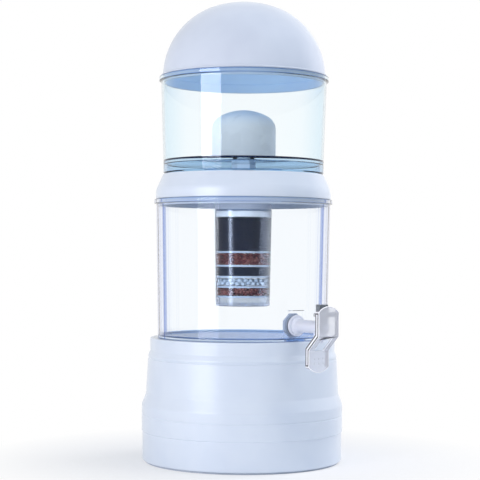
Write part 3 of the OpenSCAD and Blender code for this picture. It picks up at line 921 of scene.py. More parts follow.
@dataclass
class Stand(Assembly):
    """The hollow white stand and the rubber ring under it."""

    wall: float = 3.0
    band_h: float = 19.0
    flare_top: float = 102.0
    flare_foot: float = 85.5
    plinth_h: float = 46.5
    plinth_step: float = 1.2
    rim_w: float = 11.4
    seat_gap: float = 1.3
    waist_out: float = 2.8
    waist_h: float = 7.0
    hip_out: float = 5.8
    drum_out: float = 11.9
    ledge_w: float = 26.7
    foot_w: float = 12.0
    ring_w: float = 7.0
    seam_foot: float = 69.5
    seam_w: float = 2.0
    seam_d: float = 0.5
    # Corners of the groove below the top band: how far out of the waist, how far down, and the rounding.
    band_groove: tuple[tuple[float, float, float], ...] = (
        (0.3, 12.4, 0.4), (-0.8, 11.8, 0.3), (-0.8, 10.4, 0.3), (0.0, 9.6, 0.4))

    def build(self) -> None:
        """Builds the stand and its ring."""
        self.build_shell()
        self.build_ring()

    def build_shell(self) -> None:
        """Builds the stand: a ledge inside a rim, a waist, a flare, and a drum on a narrower plinth."""
        box = Node.of("base_stand")
        drum = box.radius
        rim = drum - self.drum_out
        waist, hip, plinth = rim + self.waist_out, rim + self.hip_out, drum - self.plinth_step
        seat = rim - self.rim_w - self.seat_gap
        deck = Node.of("lower_tank").foot - PLAY
        band = box.top - self.band_h
        foot = Node.of("base_foot_ring").top
        seam_top = self.seam_foot + self.seam_w
        stand = lathe("stand_shell", [
            Turn(seat, box.top, 1.0), Turn(seat, deck, 0.8), Turn(seat - self.ledge_w, deck, 1.0),
            Turn(seat - self.ledge_w, deck - self.wall, 1.0), Turn(rim - self.wall, deck - self.wall, 2.0),
            Turn(rim - self.wall, band - self.wall, 2.0), Turn(waist - self.wall, band - self.waist_h, 2.0),
            Turn(hip - self.wall, self.flare_top, 8.0), Turn(drum - self.wall, self.flare_foot - 1, 4.0),
            Turn(drum - self.wall, self.plinth_h, 1.0), Turn(plinth - self.wall, self.plinth_h - 2, 1.0),
            Turn(plinth - self.wall, foot + self.wall, 1.0),
            Turn(plinth - self.foot_w, foot + self.wall, 1.0), Turn(plinth - self.foot_w, foot, 1.0),
            Turn(plinth, foot, 2.6),
            Turn(plinth, self.plinth_h - self.plinth_step, 0.6), Turn(drum, self.plinth_h, 0.6),
            Turn(drum, self.seam_foot, 0.2), Turn(drum - self.seam_d, self.seam_foot + self.seam_d, 0.2),
            Turn(drum - self.seam_d, seam_top - self.seam_d, 0.2), Turn(drum, seam_top, 0.2),
            Turn(drum, self.flare_foot, 7.0), Turn(hip, self.flare_top, 9.0),
            *[Turn(waist + out, band - down, rounded) for out, down, rounded in self.band_groove],
            Turn(waist, band - self.waist_h, 3.0), Turn(rim, band, 2.5), Turn(rim, box.top, 1.4)])
        self.settle(stand, Body.STAND, Slot.WHITE_ABS, ["moulded_white_abs"], "base_stand")

    def build_ring(self) -> None:
        """Builds the rubber ring under the stand."""
        ring = Node.of("base_foot_ring")
        inner = ring.radius - self.ring_w
        pad = lathe("stand_foot_ring", [
            Turn(inner, ring.foot, 0.8), Turn(ring.radius, ring.foot, 0.8), Turn(ring.radius, ring.top, 0.3),
            Turn(inner, ring.top, 0.3)])
        self.settle(pad, Body.STAND, Slot.RUBBER, ["silicone_rubber"], "base_foot_ring")


class TankFace(IntEnum):
    """Which of its tank's finishes a face has, where it isn't the walls' own, 0."""

    FLOOR = 1
    RIM = 2
    CORNER = 3


@dataclass
class Tanks(Assembly):
    """The two clear tanks."""

    axes: TapAxes
    wall: float = 3.0
    floor: float = 3.0
    flange_out: float = 3.0
    flange_h: float = 6.5
    step: float = 1.0
    lower_draft: float = 3.7
    upper_draft: float = 4.0
    foot_ring_h: float = 8.7
    foot_ring_in: float = 2.0
    skirt_h: float = 25.0
    skirt_inset: float = 1.6
    stem_gap: float = 0.25
    grooves: int = 36
    groove_depth: float = 0.12
    groove_foot: float = 0.5
    # How near a point has to be to the inner wall or to the pad's top to belong to it.
    skin: float = 0.3
    level: float = 0.05
    pad_rise: float = 21.0
    pad_in: float = 1.2
    pad_blend: float = 6.0
    # The cosine of half the angle over which the pad can reach.
    pad_cosine: float = 0.9
    ledge_h: float = 0.9
    ledge_lean: float = 0.15
    pad_u: float = field(init=False)

    def __post_init__(self) -> None:
        """Works out how far the tap's flat pad is from the tanks' axis."""
        self.pad_u = Node.of("lower_tank").radius - self.flange_out - self.lower_draft - self.pad_in

    def build(self) -> None:
        """Builds both tanks."""
        self.build_lower()
        self.build_upper()

    def build_lower(self) -> None:
        """Builds the lower tank, with fine upright grooves inside and a flat pad at the tap's hole."""
        box = Node.of("lower_tank")
        floored, rimmed = TankFace.FLOOR, TankFace.RIM
        top = box.radius - self.flange_out
        foot = top - self.lower_draft
        under = box.foot + self.foot_ring_h
        floor = under + self.floor
        flange = box.top - self.flange_h
        neck = flange - self.step
        ring = foot - self.foot_ring_in
        pad = self.axes.height + self.pad_rise
        tank = lathe("lower_tank_shell", [
            Turn(0, floor, face=floored), Turn(foot - self.wall, floor, 2.5, rim=rimmed),
            Turn(top - self.wall, box.top, 1.0, rim=rimmed), Turn(box.radius, box.top, 1.4, rim=rimmed),
            Turn(box.radius, flange, 1.2, rim=rimmed), Turn(top, neck, 0.6),
            *[Turn(foot + (top - foot) * (z - under) / (neck - under), z)
              for z in (pad + self.pad_blend, pad + self.ledge_h, pad)],
            Turn(foot + 0.1, floor + self.step), Turn(foot, under, 1.6, face=floored, rim=rimmed),
            Turn(ring, under, 0.3, face=floored), Turn(ring, box.foot, 0.8, face=floored),
            Turn(ring - self.wall, box.foot, 0.8, face=floored),
            Turn(ring - self.wall, under, 0.6, face=floored),
            Turn(0, under, face=floored)],
            around=self.grooves * GROOVE_STEPS,
            ripple=lambda r, z, angle: self.relief(r, z, angle, floor, pad, box.top))
        self.line_ledge(tank, pad)
        self.settle(tank, Body.LOWER, Slot.CLEAR_TANK, ["clear_san", "clear_san_deep_and_shade", "clear_san_lip"],
                    "lower_tank")

    def line_ledge(self, tank: bpy.types.Object, pad: float) -> None:
        """Gives the ledge along the top of the tap's pad the finish of the rims.

        Args:
            tank: the lower tank's mesh object.
            pad: the height of the pad's top.
        """
        for face in tank.data.polygons:
            centre = face.center / MM
            outside = math.hypot(centre.x, centre.y) >= self.pad_u
            beside_tap = centre.dot(self.axes.out) > self.pad_u * self.pad_cosine
            upward = pad < centre.z < pad + self.ledge_h and face.normal.z > self.ledge_lean
            if outside and beside_tap and upward:
                face.material_index = TankFace.RIM

    def relief(self, r: float, z: float, angle: float, floor: float, pad: float, rim: float) -> float:
        """Gives how far the grooves and the tap's flat pad move a point of the lower tank's wall.

        Args:
            r: the point's radius.
            z: its height.
            angle: its direction, in radians.
            floor: the height of the tank's floor.
            pad: the height of the pad's top.
            rim: the height of the tank's rim.

        Returns:
            The change of the radius.
        """
        if z < floor + self.groove_foot:
            return 0.0
        inner = self.pad_u + self.pad_in - self.wall + self.lower_draft * (z - floor) / (rim - floor)
        if r < inner + self.skin:
            turn = round(angle * self.grooves * GROOVE_STEPS / math.tau)
            return self.groove_depth if turn % GROOVE_STEPS == GROOVE_STEPS // 2 else 0.0
        off = math.cos(angle - math.atan2(self.axes.out.y, self.axes.out.x))
        if z > pad + self.level or off < self.pad_cosine:
            return 0.0
        return min(0.0, self.pad_u / off - r)

    def build_upper(self) -> None:
        """Builds the upper tank, with its set-in skirt below the floor and the hole for the dome's stem."""
        box = Node.of("upper_tank")
        floored, rimmed = TankFace.FLOOR, TankFace.RIM
        top = box.radius - self.flange_out
        foot = top - self.upper_draft
        skirt = foot - self.skirt_inset
        under = box.foot + self.skirt_h
        floor = under + self.floor
        flange = box.top - self.flange_h
        seat = Node.of("collar").top + self.step
        hole = stem_radius() + self.stem_gap
        tank = lathe("upper_tank_shell", [
            # The corner round the floor takes the painted navy shade line.
            Turn(hole, floor, 0.3, face=floored), Turn(foot - self.wall, floor, 2.6, rim=TankFace.CORNER),
            Turn(top - self.wall, box.top, 1.0, rim=rimmed), Turn(box.radius, box.top, 1.4, rim=rimmed),
            Turn(box.radius, flange, 1.2, rim=rimmed), Turn(top, flange - self.step, 0.6),
            Turn(foot, floor + self.step, 0.5, face=floored),
            Turn(foot, seat + self.skirt_inset, 0.8, face=floored, rim=rimmed),
            Turn(skirt, seat, 0.5, face=floored), Turn(skirt, box.foot, 0.8, face=floored, rim=rimmed),
            Turn(skirt - self.wall, box.foot, 0.8, face=floored),
            Turn(skirt - self.wall, under, 1.5, face=floored),
            Turn(hole, under, 0.3, face=floored)])
        self.settle(tank, Body.UPPER, Slot.CLEAR_TANK,
                    ["clear_san_pale", "clear_san_floor", "clear_san_rim", "clear_san_painted_shade_line"], "upper_tank")


@dataclass
class Covers(Assembly):
    """The white shouldered collar and the domed lid."""

    wall: float = 2.5
    plate: float = 3.0
    edge_w: float = 1.2
    lip_gap: float = 0.7
    cup_gap: float = 5.0
    seat_w: float = 5.2
    collar_lip: float = 10.0
    collar_edge_h: float = 8.0
    shoulder: float = 25.0
    shoulder_steps: int = 16
    lid_inset: float = 2.4
    lid_edge_h: float = 3.0
    lid_blend_h: float = 1.0
    lid_blend_out: float = 0.05
    lid_side_less: float = 1.8

    def build(self) -> None:
        """Builds the collar and the lid."""
        self.build_collar()
        self.build_lid()

    def build_collar(self) -> None:
        """Builds the collar: its curved shoulder, seat ring, plate, and the lip inside the lower tank."""
        box, upper, lower = Node.of("collar"), Node.of("upper_tank"), Node.of("lower_tank")
        base = box.foot + self.collar_lip
        plate, rib = base + self.plate, base + 2 * self.plate
        bore = upper.radius - Tanks.flange_out - Tanks.upper_draft - Tanks.skirt_inset + self.lip_gap
        seat, seat_z = bore - self.seat_w, upper.foot - PLAY
        lip = lower.radius - Tanks.flange_out - Tanks.wall - self.lip_gap
        hole = Node.of("cartridge_cup").radius + self.cup_gap

        centre = Vector((box.radius - self.shoulder, base + self.collar_edge_h))
        reach = Vector((bore + self.edge_w, box.top)) - centre
        slope = math.atan2(reach.y, reach.x) - math.acos(self.shoulder / reach.length)
        arc = [Turn(centre.x + self.shoulder * math.cos(a), centre.y + self.shoulder * math.sin(a))
               for a in np.linspace(slope, 0, self.shoulder_steps)]
        shaded = [
            (lip, base, 0.4), (lip, box.foot, 0.8), (lip - self.wall, box.foot, 0.8),
            (lip - self.wall, base, 0.8), (hole, base, 0.8), (hole, rib, 0.6), (hole + self.wall, rib, 0.6),
            (hole + self.wall, plate, 0.6), (seat, plate, 0.6)]
        collar = lathe("collar_shell", [
            Turn(bore, box.top, 0.4), Turn(bore + self.edge_w, box.top, 0.5), *arc,
            Turn(box.radius, base, 0.9), *[Turn(*corner, face=SHADED) for corner in shaded],
            Turn(seat, seat_z, 0.8), Turn(bore, seat_z, 0.3)])
        self.settle(collar, Body.COLLAR, Slot.WHITE_ABS, ["moulded_white_abs", "shaded_collar_abs"], "collar")

    def build_lid(self) -> None:
        """Builds the lid: a hollow dome with an edge lip and a locating lip."""
        box, tank = Node.of("dome_lid"), Node.of("upper_tank")
        base = tank.top + PLAY
        height = box.top - base
        side = height - self.lid_side_less
        edge = base + self.lid_edge_h
        dome = tank.radius - Tanks.flange_out - self.lid_inset
        lip = tank.radius - Tanks.flange_out - Tanks.wall - self.lip_gap
        outer, inner = (dome_section(dome, height, side, inset, base) for inset in (0.0, self.wall))
        start = next(i for i, turn in enumerate(outer) if turn.z > edge + self.lid_blend_h)
        lid = lathe("lid_shell", [
            Turn(lip - self.wall, box.foot, 0.8, face=SHADED), Turn(lip, box.foot, 0.8, face=SHADED),
            Turn(lip, base, 0.4), Turn(box.radius, base, 1.0), Turn(box.radius, edge, 1.3),
            Turn(outer[start].r + self.lid_blend_out, edge, 0.8), *outer[start:],
            *[Turn(t.r, t.z, face=SHADED) for t in reversed(inner[1:])],
            Turn(lip - self.wall, edge, 0.5, face=SHADED)])
        # The lid's outside takes the greyer copy of the ABS, which is painted shade.
        self.settle(lid, Body.LID, Slot.WHITE_ABS, ["lid_abs_painted_shade", "shaded_white_abs"], "dome_lid")


@dataclass
class DomeFilter(Assembly):
    """The ceramic dome and its plastic base."""

    wall: float = 8.0
    top_h: float = 29.0
    shoulder: float = 22.0
    stem_bore: float = 5.0
    thread_from: float = 1.0
    thread_free: float = 6.0
    thread_depth: float = 0.6
    thread_marks: tuple[float, ...] = (0.6, 1.2, 1.8)
    spigot_gap: float = 0.3
    spigot_in: float = 3.0

    def build(self) -> None:
        """Builds the ceramic dome, and its base with the threaded stem."""
        box, cap, washer = Node.of("ceramic_dome"), Node.of("dome_base_cap"), Node.of("dome_seal_washer")
        bore = box.radius - self.wall
        outer, inner = (dome_section(box.radius, self.top_h, self.shoulder, inset, box.top - self.top_h)
                        for inset in (0.0, self.wall))
        dome = lathe("ceramic_dome_shell", [
            Turn(bore, box.foot, 0.5), Turn(box.radius, box.foot, 0.8), *outer, *reversed(inner)])
        self.settle(dome, Body.UPPER, Slot.CERAMIC, ["fired_ceramic"], "ceramic_dome")
        stem = stem_radius()
        grooves = thread(stem, cap.foot + self.thread_from, washer.top - self.thread_free, self.thread_depth,
                         self.thread_marks)
        base = lathe("ceramic_dome_base", [
            Turn(self.stem_bore, cap.foot, 0.5), Turn(stem, cap.foot, 0.8), *grooves, Turn(stem, washer.top),
            Turn(cap.radius, washer.top, 1.0), Turn(cap.radius, box.foot, 0.5),
            Turn(bore - self.spigot_gap, box.foot), Turn(bore - self.spigot_gap, cap.top, 0.5),
            Turn(bore - self.spigot_in, cap.top, 0.5), Turn(bore - self.spigot_in, box.foot, 0.5),
            Turn(self.stem_bore, box.foot, 0.5)])
        self.settle(base, Body.UPPER, Slot.WHITE_ABS, ["moulded_white_abs"], "dome_base_cap")


class CupFace(IntEnum):
    """Which of the cup's finishes a face has, where it isn't the wall's own, 0."""

    CONTACT = 1
    FOOT = 2
    CORNER = 3


@dataclass
class Cartridge(Assembly):
    """The mineral cartridge: the clear cup, its cap, and the layers of media between screens."""

    wall: float = 2.0
    draft: float = 2.5
    floor: float = 3.0
    outlet_r: float = 4.0
    cap_h: float = 12.0
    cap_plate: float = 3.0
    cap_gap: float = 0.2
    neck_r: float = 16.0
    neck_gap: float = 0.05
    spigot_gap: float = 0.25
    spigot_wall: float = 2.5
    screen_gap: float = 0.3
    screen_rim_in: float = 2.0
    screen_rim_w: float = 1.6
    screen_rim_h: float = 0.5
    fluff_waves: int = 6
    fluff_in: float = 0.35
    fluff_swing: float = 0.1
    carbon: Grain = Grain(2.6, 1, 0.35, 0.7)
    ball: Grain = Grain(4.6, 2, 0.04, 0.95)
    sand: Grain = Grain(1.9, 1, 0.3, 0.8)
    pebble: Grain = Grain(7.5, 2, 0.12, 0.7)
    # How grains pack, in their own diameters: rows, rings, neighbours, disorder, and where the core begins.
    row_pitch: float = 0.86
    ring_pitch: float = 0.9
    grain_pitch: float = 1.02
    disorder: float = 0.09
    core_in: float = 1.3
    core_inset: float = 0.35
    size_range: tuple[float, float] = (0.82, 1.04)
    bed_gap: float = 0.5
    grain_gap: float = 0.35
    layer_gap: float = 0.05
    seed: int = 7
    random: np.random.Generator = field(init=False)
    box: Node = field(init=False)

    def __post_init__(self) -> None:
        """Starts the random numbers and finds the cup."""
        self.random = np.random.default_rng(self.seed)
        self.box = Node.of("cartridge_cup")

    def build(self) -> None:
        """Builds the cup, the cap, the screens, the pad and every layer of grains."""
        self.build_cup()
        self.build_cap()
        self.build_screens()
        self.build_pad()
        self.build_bed("carbon_grains", "carbon_bed", Slot.CARBON, "granular_carbon", self.carbon)
        self.build_bed("clay_balls_upper", "mineral_balls_upper", Slot.CLAY_BALLS, "fired_clay", self.ball)
        self.build_bed("sand_grains", "mineral_sand", Slot.MINERAL_SAND, "mineral_sand", self.sand)
        self.build_bed("quartz_pebbles", "silica_stones", Slot.QUARTZ, "quartz_pebble", self.pebble)
        self.build_bed("clay_balls_lower", "mineral_balls_lower", Slot.CLAY_BALLS, "fired_clay", self.ball)

    def inner(self, z: float) -> float:
        """Gives the cup's inner radius at a height."""
        share = (z - self.box.foot) / (self.box.top - self.box.foot)
        return self.box.radius - self.draft * (1 - share) - self.wall

    def build_cup(self) -> None:
        """Builds the clear cup."""
        box = self.box
        foot = box.radius - self.draft
        screens = Node.of("divider_screens").foot
        cup = lathe("cartridge_cup_shell", [
            Turn(self.outlet_r, box.foot, 0.3, face=CupFace.FOOT),
            # The foot's corner takes the painted shade line.
            Turn(foot, box.foot, 1.2, face=CupFace.FOOT, rim=CupFace.CORNER),
            Turn(self.inner(screens) + self.wall, screens), Turn(box.radius, box.top, 0.5),
            Turn(box.radius - self.wall, box.top, 0.5, face=CupFace.CONTACT),
            Turn(foot - self.wall, box.foot + self.floor, 1.5),
            Turn(self.outlet_r, box.foot + self.floor, 0.3)], around=Around.CUP)
        finishes = ["clear_styrene", "styrene_contact", "frosted_styrene", "styrene_painted_shade_line"]
        self.settle(cup, Body.CARTRIDGE, Slot.CLEAR_CUP, finishes, "cartridge_cup")

    def build_cap(self) -> None:
        """Builds the cap, its spigot inside the cup and its neck."""
        cap, pad = Node.of("cartridge_cap"), Node.of("cotton_pad")
        bore = stem_radius() + self.neck_gap
        skirt_z, plate_top = self.box.top + self.cap_gap, self.box.top + self.cap_h
        plate_foot = plate_top - self.cap_plate
        spigot = self.inner(pad.top) - self.spigot_gap
        piece = lathe("cartridge_cap_shell", [
            Turn(spigot - self.spigot_wall, pad.top, 0.4), Turn(spigot, pad.top, 0.5),
            Turn(spigot, skirt_z, 0.2), Turn(cap.radius, skirt_z, 0.8), Turn(cap.radius, plate_top, 1.6),
            Turn(self.neck_r, plate_top, 1.2), Turn(self.neck_r, cap.top, 0.8), Turn(bore, cap.top, 0.6),
            Turn(bore, plate_foot, 0.4), Turn(spigot - self.spigot_wall, plate_foot, 1.5)], around=Around.CUP)
        self.settle(piece, Body.CARTRIDGE, Slot.CAP_GREY, ["moulded_grey_styrene"], "cartridge_cap")

    def build_screens(self) -> None:
        """Builds the five screens: thin discs with a raised rim, placed between the layers."""
        low = Node.of("divider_screens").foot
        layers = ("mineral_balls_lower", "silica_stones", "mineral_sand", "mineral_balls_upper", "carbon_bed")
        discs = []
        for name in layers:
            layer = Node.of(name)
            r = self.inner(low) - self.screen_gap
            plate, rim = r - self.screen_rim_in, r - self.screen_rim_w
            foot, top = low + self.screen_rim_h, layer.foot - self.screen_rim_h
            discs.append(lathe("screen", [
                Turn(0, foot), Turn(plate, foot, 0.3), Turn(rim, low, 0.3), Turn(r, low, 0.4),
                Turn(r, layer.foot, 0.4), Turn(rim, layer.foot, 0.3), Turn(plate, top, 0.3), Turn(0, top)],
                around=Around.BARREL))
            low = layer.top
        screens = joined("cartridge_screens", discs)
        self.settle(screens, Body.CARTRIDGE, Slot.SCREEN, ["moulded_screen"], "divider_screens")

    def build_pad(self) -> None:
        """Builds the wadding pad, with a soft uneven edge."""
        box = Node.of("cotton_pad")
        phases = self.random.random(self.fluff_waves) * 2 * math.pi

        def fluff(r: float, z: float, angle: float) -> float:
            """Pulls the pad's side in unevenly.

            Args:
                r: the point's radius.
                z: its height.
                angle: its direction, in radians.

            Returns:
                The change of the radius.
            """
            if r < self.outlet_r:
                return 0.0
            waves = sum(math.sin(angle * (5 + 4 * k) + p + z * 0.7) for k, p in enumerate(phases))
            return self.fluff_swing * waves - self.fluff_in

        r = self.inner(box.foot) - self.screen_gap
        pad = lathe("cotton_pad_wadding", [
            Turn(0, box.foot), Turn(r, box.foot, 2.0), Turn(r, (box.foot + box.top) / 2, 3.0),
            Turn(r, box.top, 2.0), Turn(0, box.top)], ripple=fluff)
        self.settle(pad, Body.CARTRIDGE, Slot.COTTON, ["cotton_wadding"], "cotton_pad")

    def build_bed(self, name: str, node: str, slot: Slot, material: str, grain: Grain) -> None:
        """Builds one layer: grains packed against the cup's wall and on top, around a plain core.

        Args:
            name: the piece's name.
            node: the CAD node of the layer.
            slot: the record's slot.
            material: the finish.
            grain: the kind of grain.
        """
        box = Node.of(node)
        size, half = grain.size, grain.size / 2
        centres = []
        rows = max(1, round((box.top - box.foot - size) / (self.row_pitch * size)))
        for row in range(rows + 1):
            z = box.foot + half + (box.top - box.foot - size) * row / rows
            for ring in (0, 1):
                r = self.inner(z) - self.bed_gap - half - ring * self.ring_pitch * size
                count = int(2 * math.pi * r / (self.grain_pitch * size))
                for k in range(count):
                    angle = 2 * math.pi * (k + 0.5 * ((row + ring) % 2)) / count
                    centres.append((r * math.cos(angle), r * math.sin(angle), z))
        spots, radii = np.array(centres), np.full(len(centres), half)
        spots += self.random.normal(scale=self.disorder * size, size=spots.shape)
        radii *= self.random.uniform(*self.size_range, len(radii))
        reach = np.hypot(spots[:, 0], spots[:, 1])
        limit = np.array([self.inner(z) - self.grain_gap for z in spots[:, 2]]) - radii
        spots[:, :2] *= np.minimum(1, limit / reach)[:, None]
        low, high = box.foot + radii + self.layer_gap, box.top - radii - self.layer_gap
        spots[:, 2] = np.clip(spots[:, 2], low, high)
        loose = grain.scatter(name + "_loose", spots, radii, self.random)
        core_r = self.inner(box.foot) - self.bed_gap - self.core_in * size
        inset = self.core_inset * size
        core = lathe(name + "_core", [
            Turn(0, box.foot + inset), Turn(core_r, box.foot + inset, 1.0),
            Turn(core_r, box.top - inset, 1.0), Turn(0, box.top - inset)], around=Around.PIN)
        self.settle(joined(name, [loose, core]), Body.CARTRIDGE, slot, [material], node)


class LeverFace(IntEnum):
    """Which of the lever's finishes a face has."""

    CLEAR = 0
    # The painted dark border and inner side walls.
    EDGE = 1
    # The painted white highlight.
    GLINT = 2


@dataclass
class Tap(Assembly):
    """The tap: its body, nut and head, and the clear lever."""

    axes: TapAxes
    flange_r: float = 15.2
    flange_t: float = 4.0
    barrel_r: float = 9.25
    barrel_len: float = 54.0
    # The barrel's shoulder by the flange: how far it stands out, how thick it is, and where it ends.
    shoulder_out: float = 2.2
    shoulder_t: float = 1.6
    shoulder_end: float = 3.4
    shank_r: float = 8.0
    shank_past: float = 2.0
    thread_from: float = 1.5
    thread_free: float = 3.0
    thread_depth: float = 0.7
    thread_marks: tuple[float, ...] = (0.3, 1.0, 1.7)
    spout_r: float = 6.5
    spout_back: float = 1.5
    spout_root: float = 0.4
    sleeve_t: float = 0.7
    sleeve_step: float = 0.6
    spout_bore: float = 4.5
    spout_tip: float = 6.0
    chamber_r: float = 6.2
    chamber_u: float = 21.0
    bore_r: float = 5.2
    bore_u: float = 19.0
    nut_flats: float = 34.5
    nut_t: float = 4.5
    nut_gap: float = 0.1
    nut_chamfer: float = 1.2
    nut_chamfer_in: float = 2.0
    nut_hub: float = 1.0
    head_t: float = 3.5
    button_r: float = 3.25
    post_r: float = 9.0
    post_in: float = 0.5
    post_front: float = 0.86
    post_foot: float = 0.9
    post_steps: int = 24
    knuckle_r: float = 3.6
    knuckle_bore: float = 1.55
    knuckle_gap: float = 0.5
    lever_t: float = 2.8
    rail_t: float = 2.4
    rail_d: float = 8.0
    pin_out: float = 6.2
    slant_top: float = 12.5
    slant_foot: float = 32.5
    paddle_back: float = 21.0
    slot_half: float = 8.5
    slot_below: float = 1.0
    lever_curve: float = 24.0
    curve_steps: int = 36
    edge_w: float = 0.9
    edge_steps: int = 2
    border_w: float = 2.5
    outer_skin: float = 0.5
    # How far a face's normal lies along the lever's width, at least in a side wall and at most elsewhere.
    sideways: float = 0.95
    not_sideways: float = 0.3
    # Square millimetres from which an inner side wall is split at the slant, and is then given its finish.
    broad_side: float = 120.0
    broad_part: float = 90.0
    end_h: float = 12.0
    boss_r: float = 2.7
    pin_r: float = 1.5
    pin_gap: float = 0.02
    dot_r: float = 1.3
    dot_h: float = 0.6
    dot_sunk: float = 0.2
    dot_columns: tuple[float, ...] = (-8.0, 0.0, 8.0)
    dot_rows: tuple[float, ...] = (-51.0, -44.0)
    # How far the cutters reach past the lever, and the distances from the tanks' axis that they span.
    slot_reach: tuple[float, float] = (60.0, 20.0)
    end_reach: tuple[float, float] = (5.0, 20.0)
    end_span: tuple[float, float] = (120.0, 260.0)
    flange_u: float = field(init=False)
    barrel_u: float = field(init=False)
    end_u: float = field(init=False)
    spout_u: float = field(init=False)
    outer_u: float = field(init=False)
    half: float = field(init=False)
    lever_top: float = field(init=False)
    lever_drop: float = field(init=False)
    slot_span: tuple[float, float] = field(init=False)

    def __post_init__(self) -> None:
        """Works out where the pieces are along the tap's axis, and the lever's place, width and ends."""
        self.flange_u = self.span("tap_outer_washer")[1]
        self.barrel_u = self.flange_u + self.flange_t
        self.end_u = self.barrel_u + self.barrel_len
        self.spout_u = self.end_u - self.spout_r - self.spout_back
        self.outer_u = self.axes.pin_u + self.pin_out + self.lever_t
        pin, lever = Node.of("tap_lever_pin"), Node.of("tap_lever")
        width = pin.high.x - pin.low.x - 2 * self.pin_r * abs(self.axes.out.x)
        self.half = width / 2 / abs(self.axes.across.x)
        self.lever_top = lever.top - self.axes.height
        self.lever_drop = self.axes.height - lever.foot
        self.slot_span = (-self.slant_foot, -self.slant_top - self.slot_below)

    def build(self) -> None:
        """Builds the tap's pieces."""
        self.build_body()
        self.build_nut()
        self.build_head()
        self.build_lever()

    def span(self, node: str) -> tuple[float, float]:
        """Gives where a node starts and ends along the tap's axis, from its box's middle and its thickness.

        Args:
            node: a washer's name.

        Returns:
            Its inner and outer faces' distances from the tanks' axis.
        """
        box = Node.of(node)
        middle = ((box.low + box.high) / 2).dot(self.axes.out)
        radius = (box.top - box.foot) / 2
        reach = (box.high.x - box.low.x) / 2
        half = (reach - radius * abs(self.axes.across.x)) / abs(self.axes.out.x)
        return middle - half, middle + half

    def build_body(self) -> None:
        """Builds the shank, flange and barrel as one turned piece, with the spout below it."""
        shank_u = self.span("tap_inner_washer")[0] - self.nut_t - self.shank_past
        shoulder_r = self.barrel_r + self.shoulder_out
        shaft = lathe("tap_shaft", [
            Turn(self.bore_r, shank_u, 0.3), Turn(self.shank_r, shank_u, 0.8),
            *thread(self.shank_r, shank_u + self.thread_from, self.flange_u - self.thread_free,
                    self.thread_depth, self.thread_marks),
            Turn(self.shank_r, self.flange_u), Turn(self.flange_r, self.flange_u, 0.6),
            Turn(self.flange_r, self.barrel_u, 1.6), Turn(shoulder_r, self.barrel_u, 0.8),
            Turn(shoulder_r, self.barrel_u + self.shoulder_t, 1.0),
            Turn(self.barrel_r, self.barrel_u + self.shoulder_end, 2.0), Turn(self.barrel_r, self.end_u, 0.8),
            Turn(self.chamber_r, self.end_u, 0.3), Turn(self.chamber_r, self.barrel_u + self.chamber_u, 0.3),
            Turn(self.bore_r, self.barrel_u + self.bore_u, 0.3)], around=Around.BARREL)
        shaft.data.transform(self.axes.along())
        tip = self.axes.height - Node.of("tap_body").foot
        sleeve = self.spout_r + self.sleeve_t
        root = -self.chamber_r - self.spout_root
        spout = lathe("tap_spout", [
            Turn(self.spout_bore, -tip, 0.4), Turn(self.spout_r, -tip, 0.9),
            Turn(self.spout_r, self.spout_tip - tip, 0.3),
            Turn(sleeve, self.spout_tip + self.sleeve_step - tip, 0.5), Turn(sleeve, root),
            Turn(self.spout_bore, root)], around=Around.BARREL)
        spout.data.transform(self.axes.upright() @ Matrix.Translation((self.spout_u * MM, 0, 0)))
        body = joined("tap_body_shell", [shaft, spout])
        self.settle(body, Body.LOWER, Slot.TAP_WHITE, ["moulded_tap_white"], "tap_body")

    def build_nut(self) -> None:
        """Builds the eight-sided nut, chamfered at both faces."""
        start = self.span("tap_inner_washer")[0] - self.nut_t
        end = start + self.nut_t
        hole = self.shank_r + self.nut_gap
        corner = self.nut_flats / 2 / math.cos(math.pi / 8)

        def flats(r: float, z: float, angle: float) -> float:
            """Pulls the round blank in to eight flats.

            Args:
                r: the point's radius.
                z: its place along the nut.
                angle: its direction, in radians.

            Returns:
                The change of the radius.
            """
            if r < self.shank_r + self.nut_hub:
                return 0.0
            turn = (angle + math.pi / 8) % (math.pi / 4) - math.pi / 8
            return min(0.0, self.nut_flats / 2 / math.cos(turn) - r)

        nut = lathe("tap_nut_body", [
            Turn(hole, start, 0.4), Turn(corner - self.nut_chamfer_in, start, 0.4),
            Turn(corner, start + self.nut_chamfer, 0.3), Turn(corner, end - self.nut_chamfer, 0.3),
            Turn(corner - self.nut_chamfer_in, end, 0.4), Turn(hole, end, 0.4)],
            around=Around.NUT, ripple=flats)
        nut.data.transform(self.axes.along())
        self.settle(nut, Body.LOWER, Slot.NUT_PLASTIC, ["moulded_nut_nylon"], "tap_nut")

    def build_head(self) -> None:
        """Builds the head's disc, its rounded post and the hinge knuckle."""
        front = self.end_u + self.head_t
        disc = lathe("head_disc", [
            Turn(self.button_r, self.end_u, 0.3), Turn(self.barrel_r, self.end_u, 0.3),
            Turn(self.barrel_r, front, 0.9), Turn(self.button_r, front, 0.4)], around=Around.BARREL)
        disc.data.transform(self.axes.along())
        angles = [math.pi / 2 + math.pi * k / self.post_steps for k in range(self.post_steps + 1)]
        side = self.post_r * self.post_front
        outline = [(front, side), *[(self.end_u - self.post_in + self.post_r * math.cos(angle),
                                     self.post_r * math.sin(angle)) for angle in angles], (front, -side)]
        top = Node.of("tap_head").top - self.axes.height
        post = bevelled(prism("head_post", outline, self.barrel_r * self.post_foot, top, upright=True), 1.0)
        post.data.transform(self.axes.upright())
        half = self.half - self.rail_t - self.knuckle_gap
        knuckle = lathe("head_knuckle", [
            Turn(self.knuckle_bore, -half, 0.2), Turn(self.knuckle_r, -half, 0.6),
            Turn(self.knuckle_r, half, 0.6), Turn(self.knuckle_bore, half, 0.2)], around=Around.PIN)
        knuckle.data.transform(self.axes.on_pin(self.axes.upright()))
        head = joined("tap_head_block", [disc, post, knuckle])
        self.settle(head, Body.LOWER, Slot.TAP_GREY, ["moulded_tap_grey"], "tap_head")

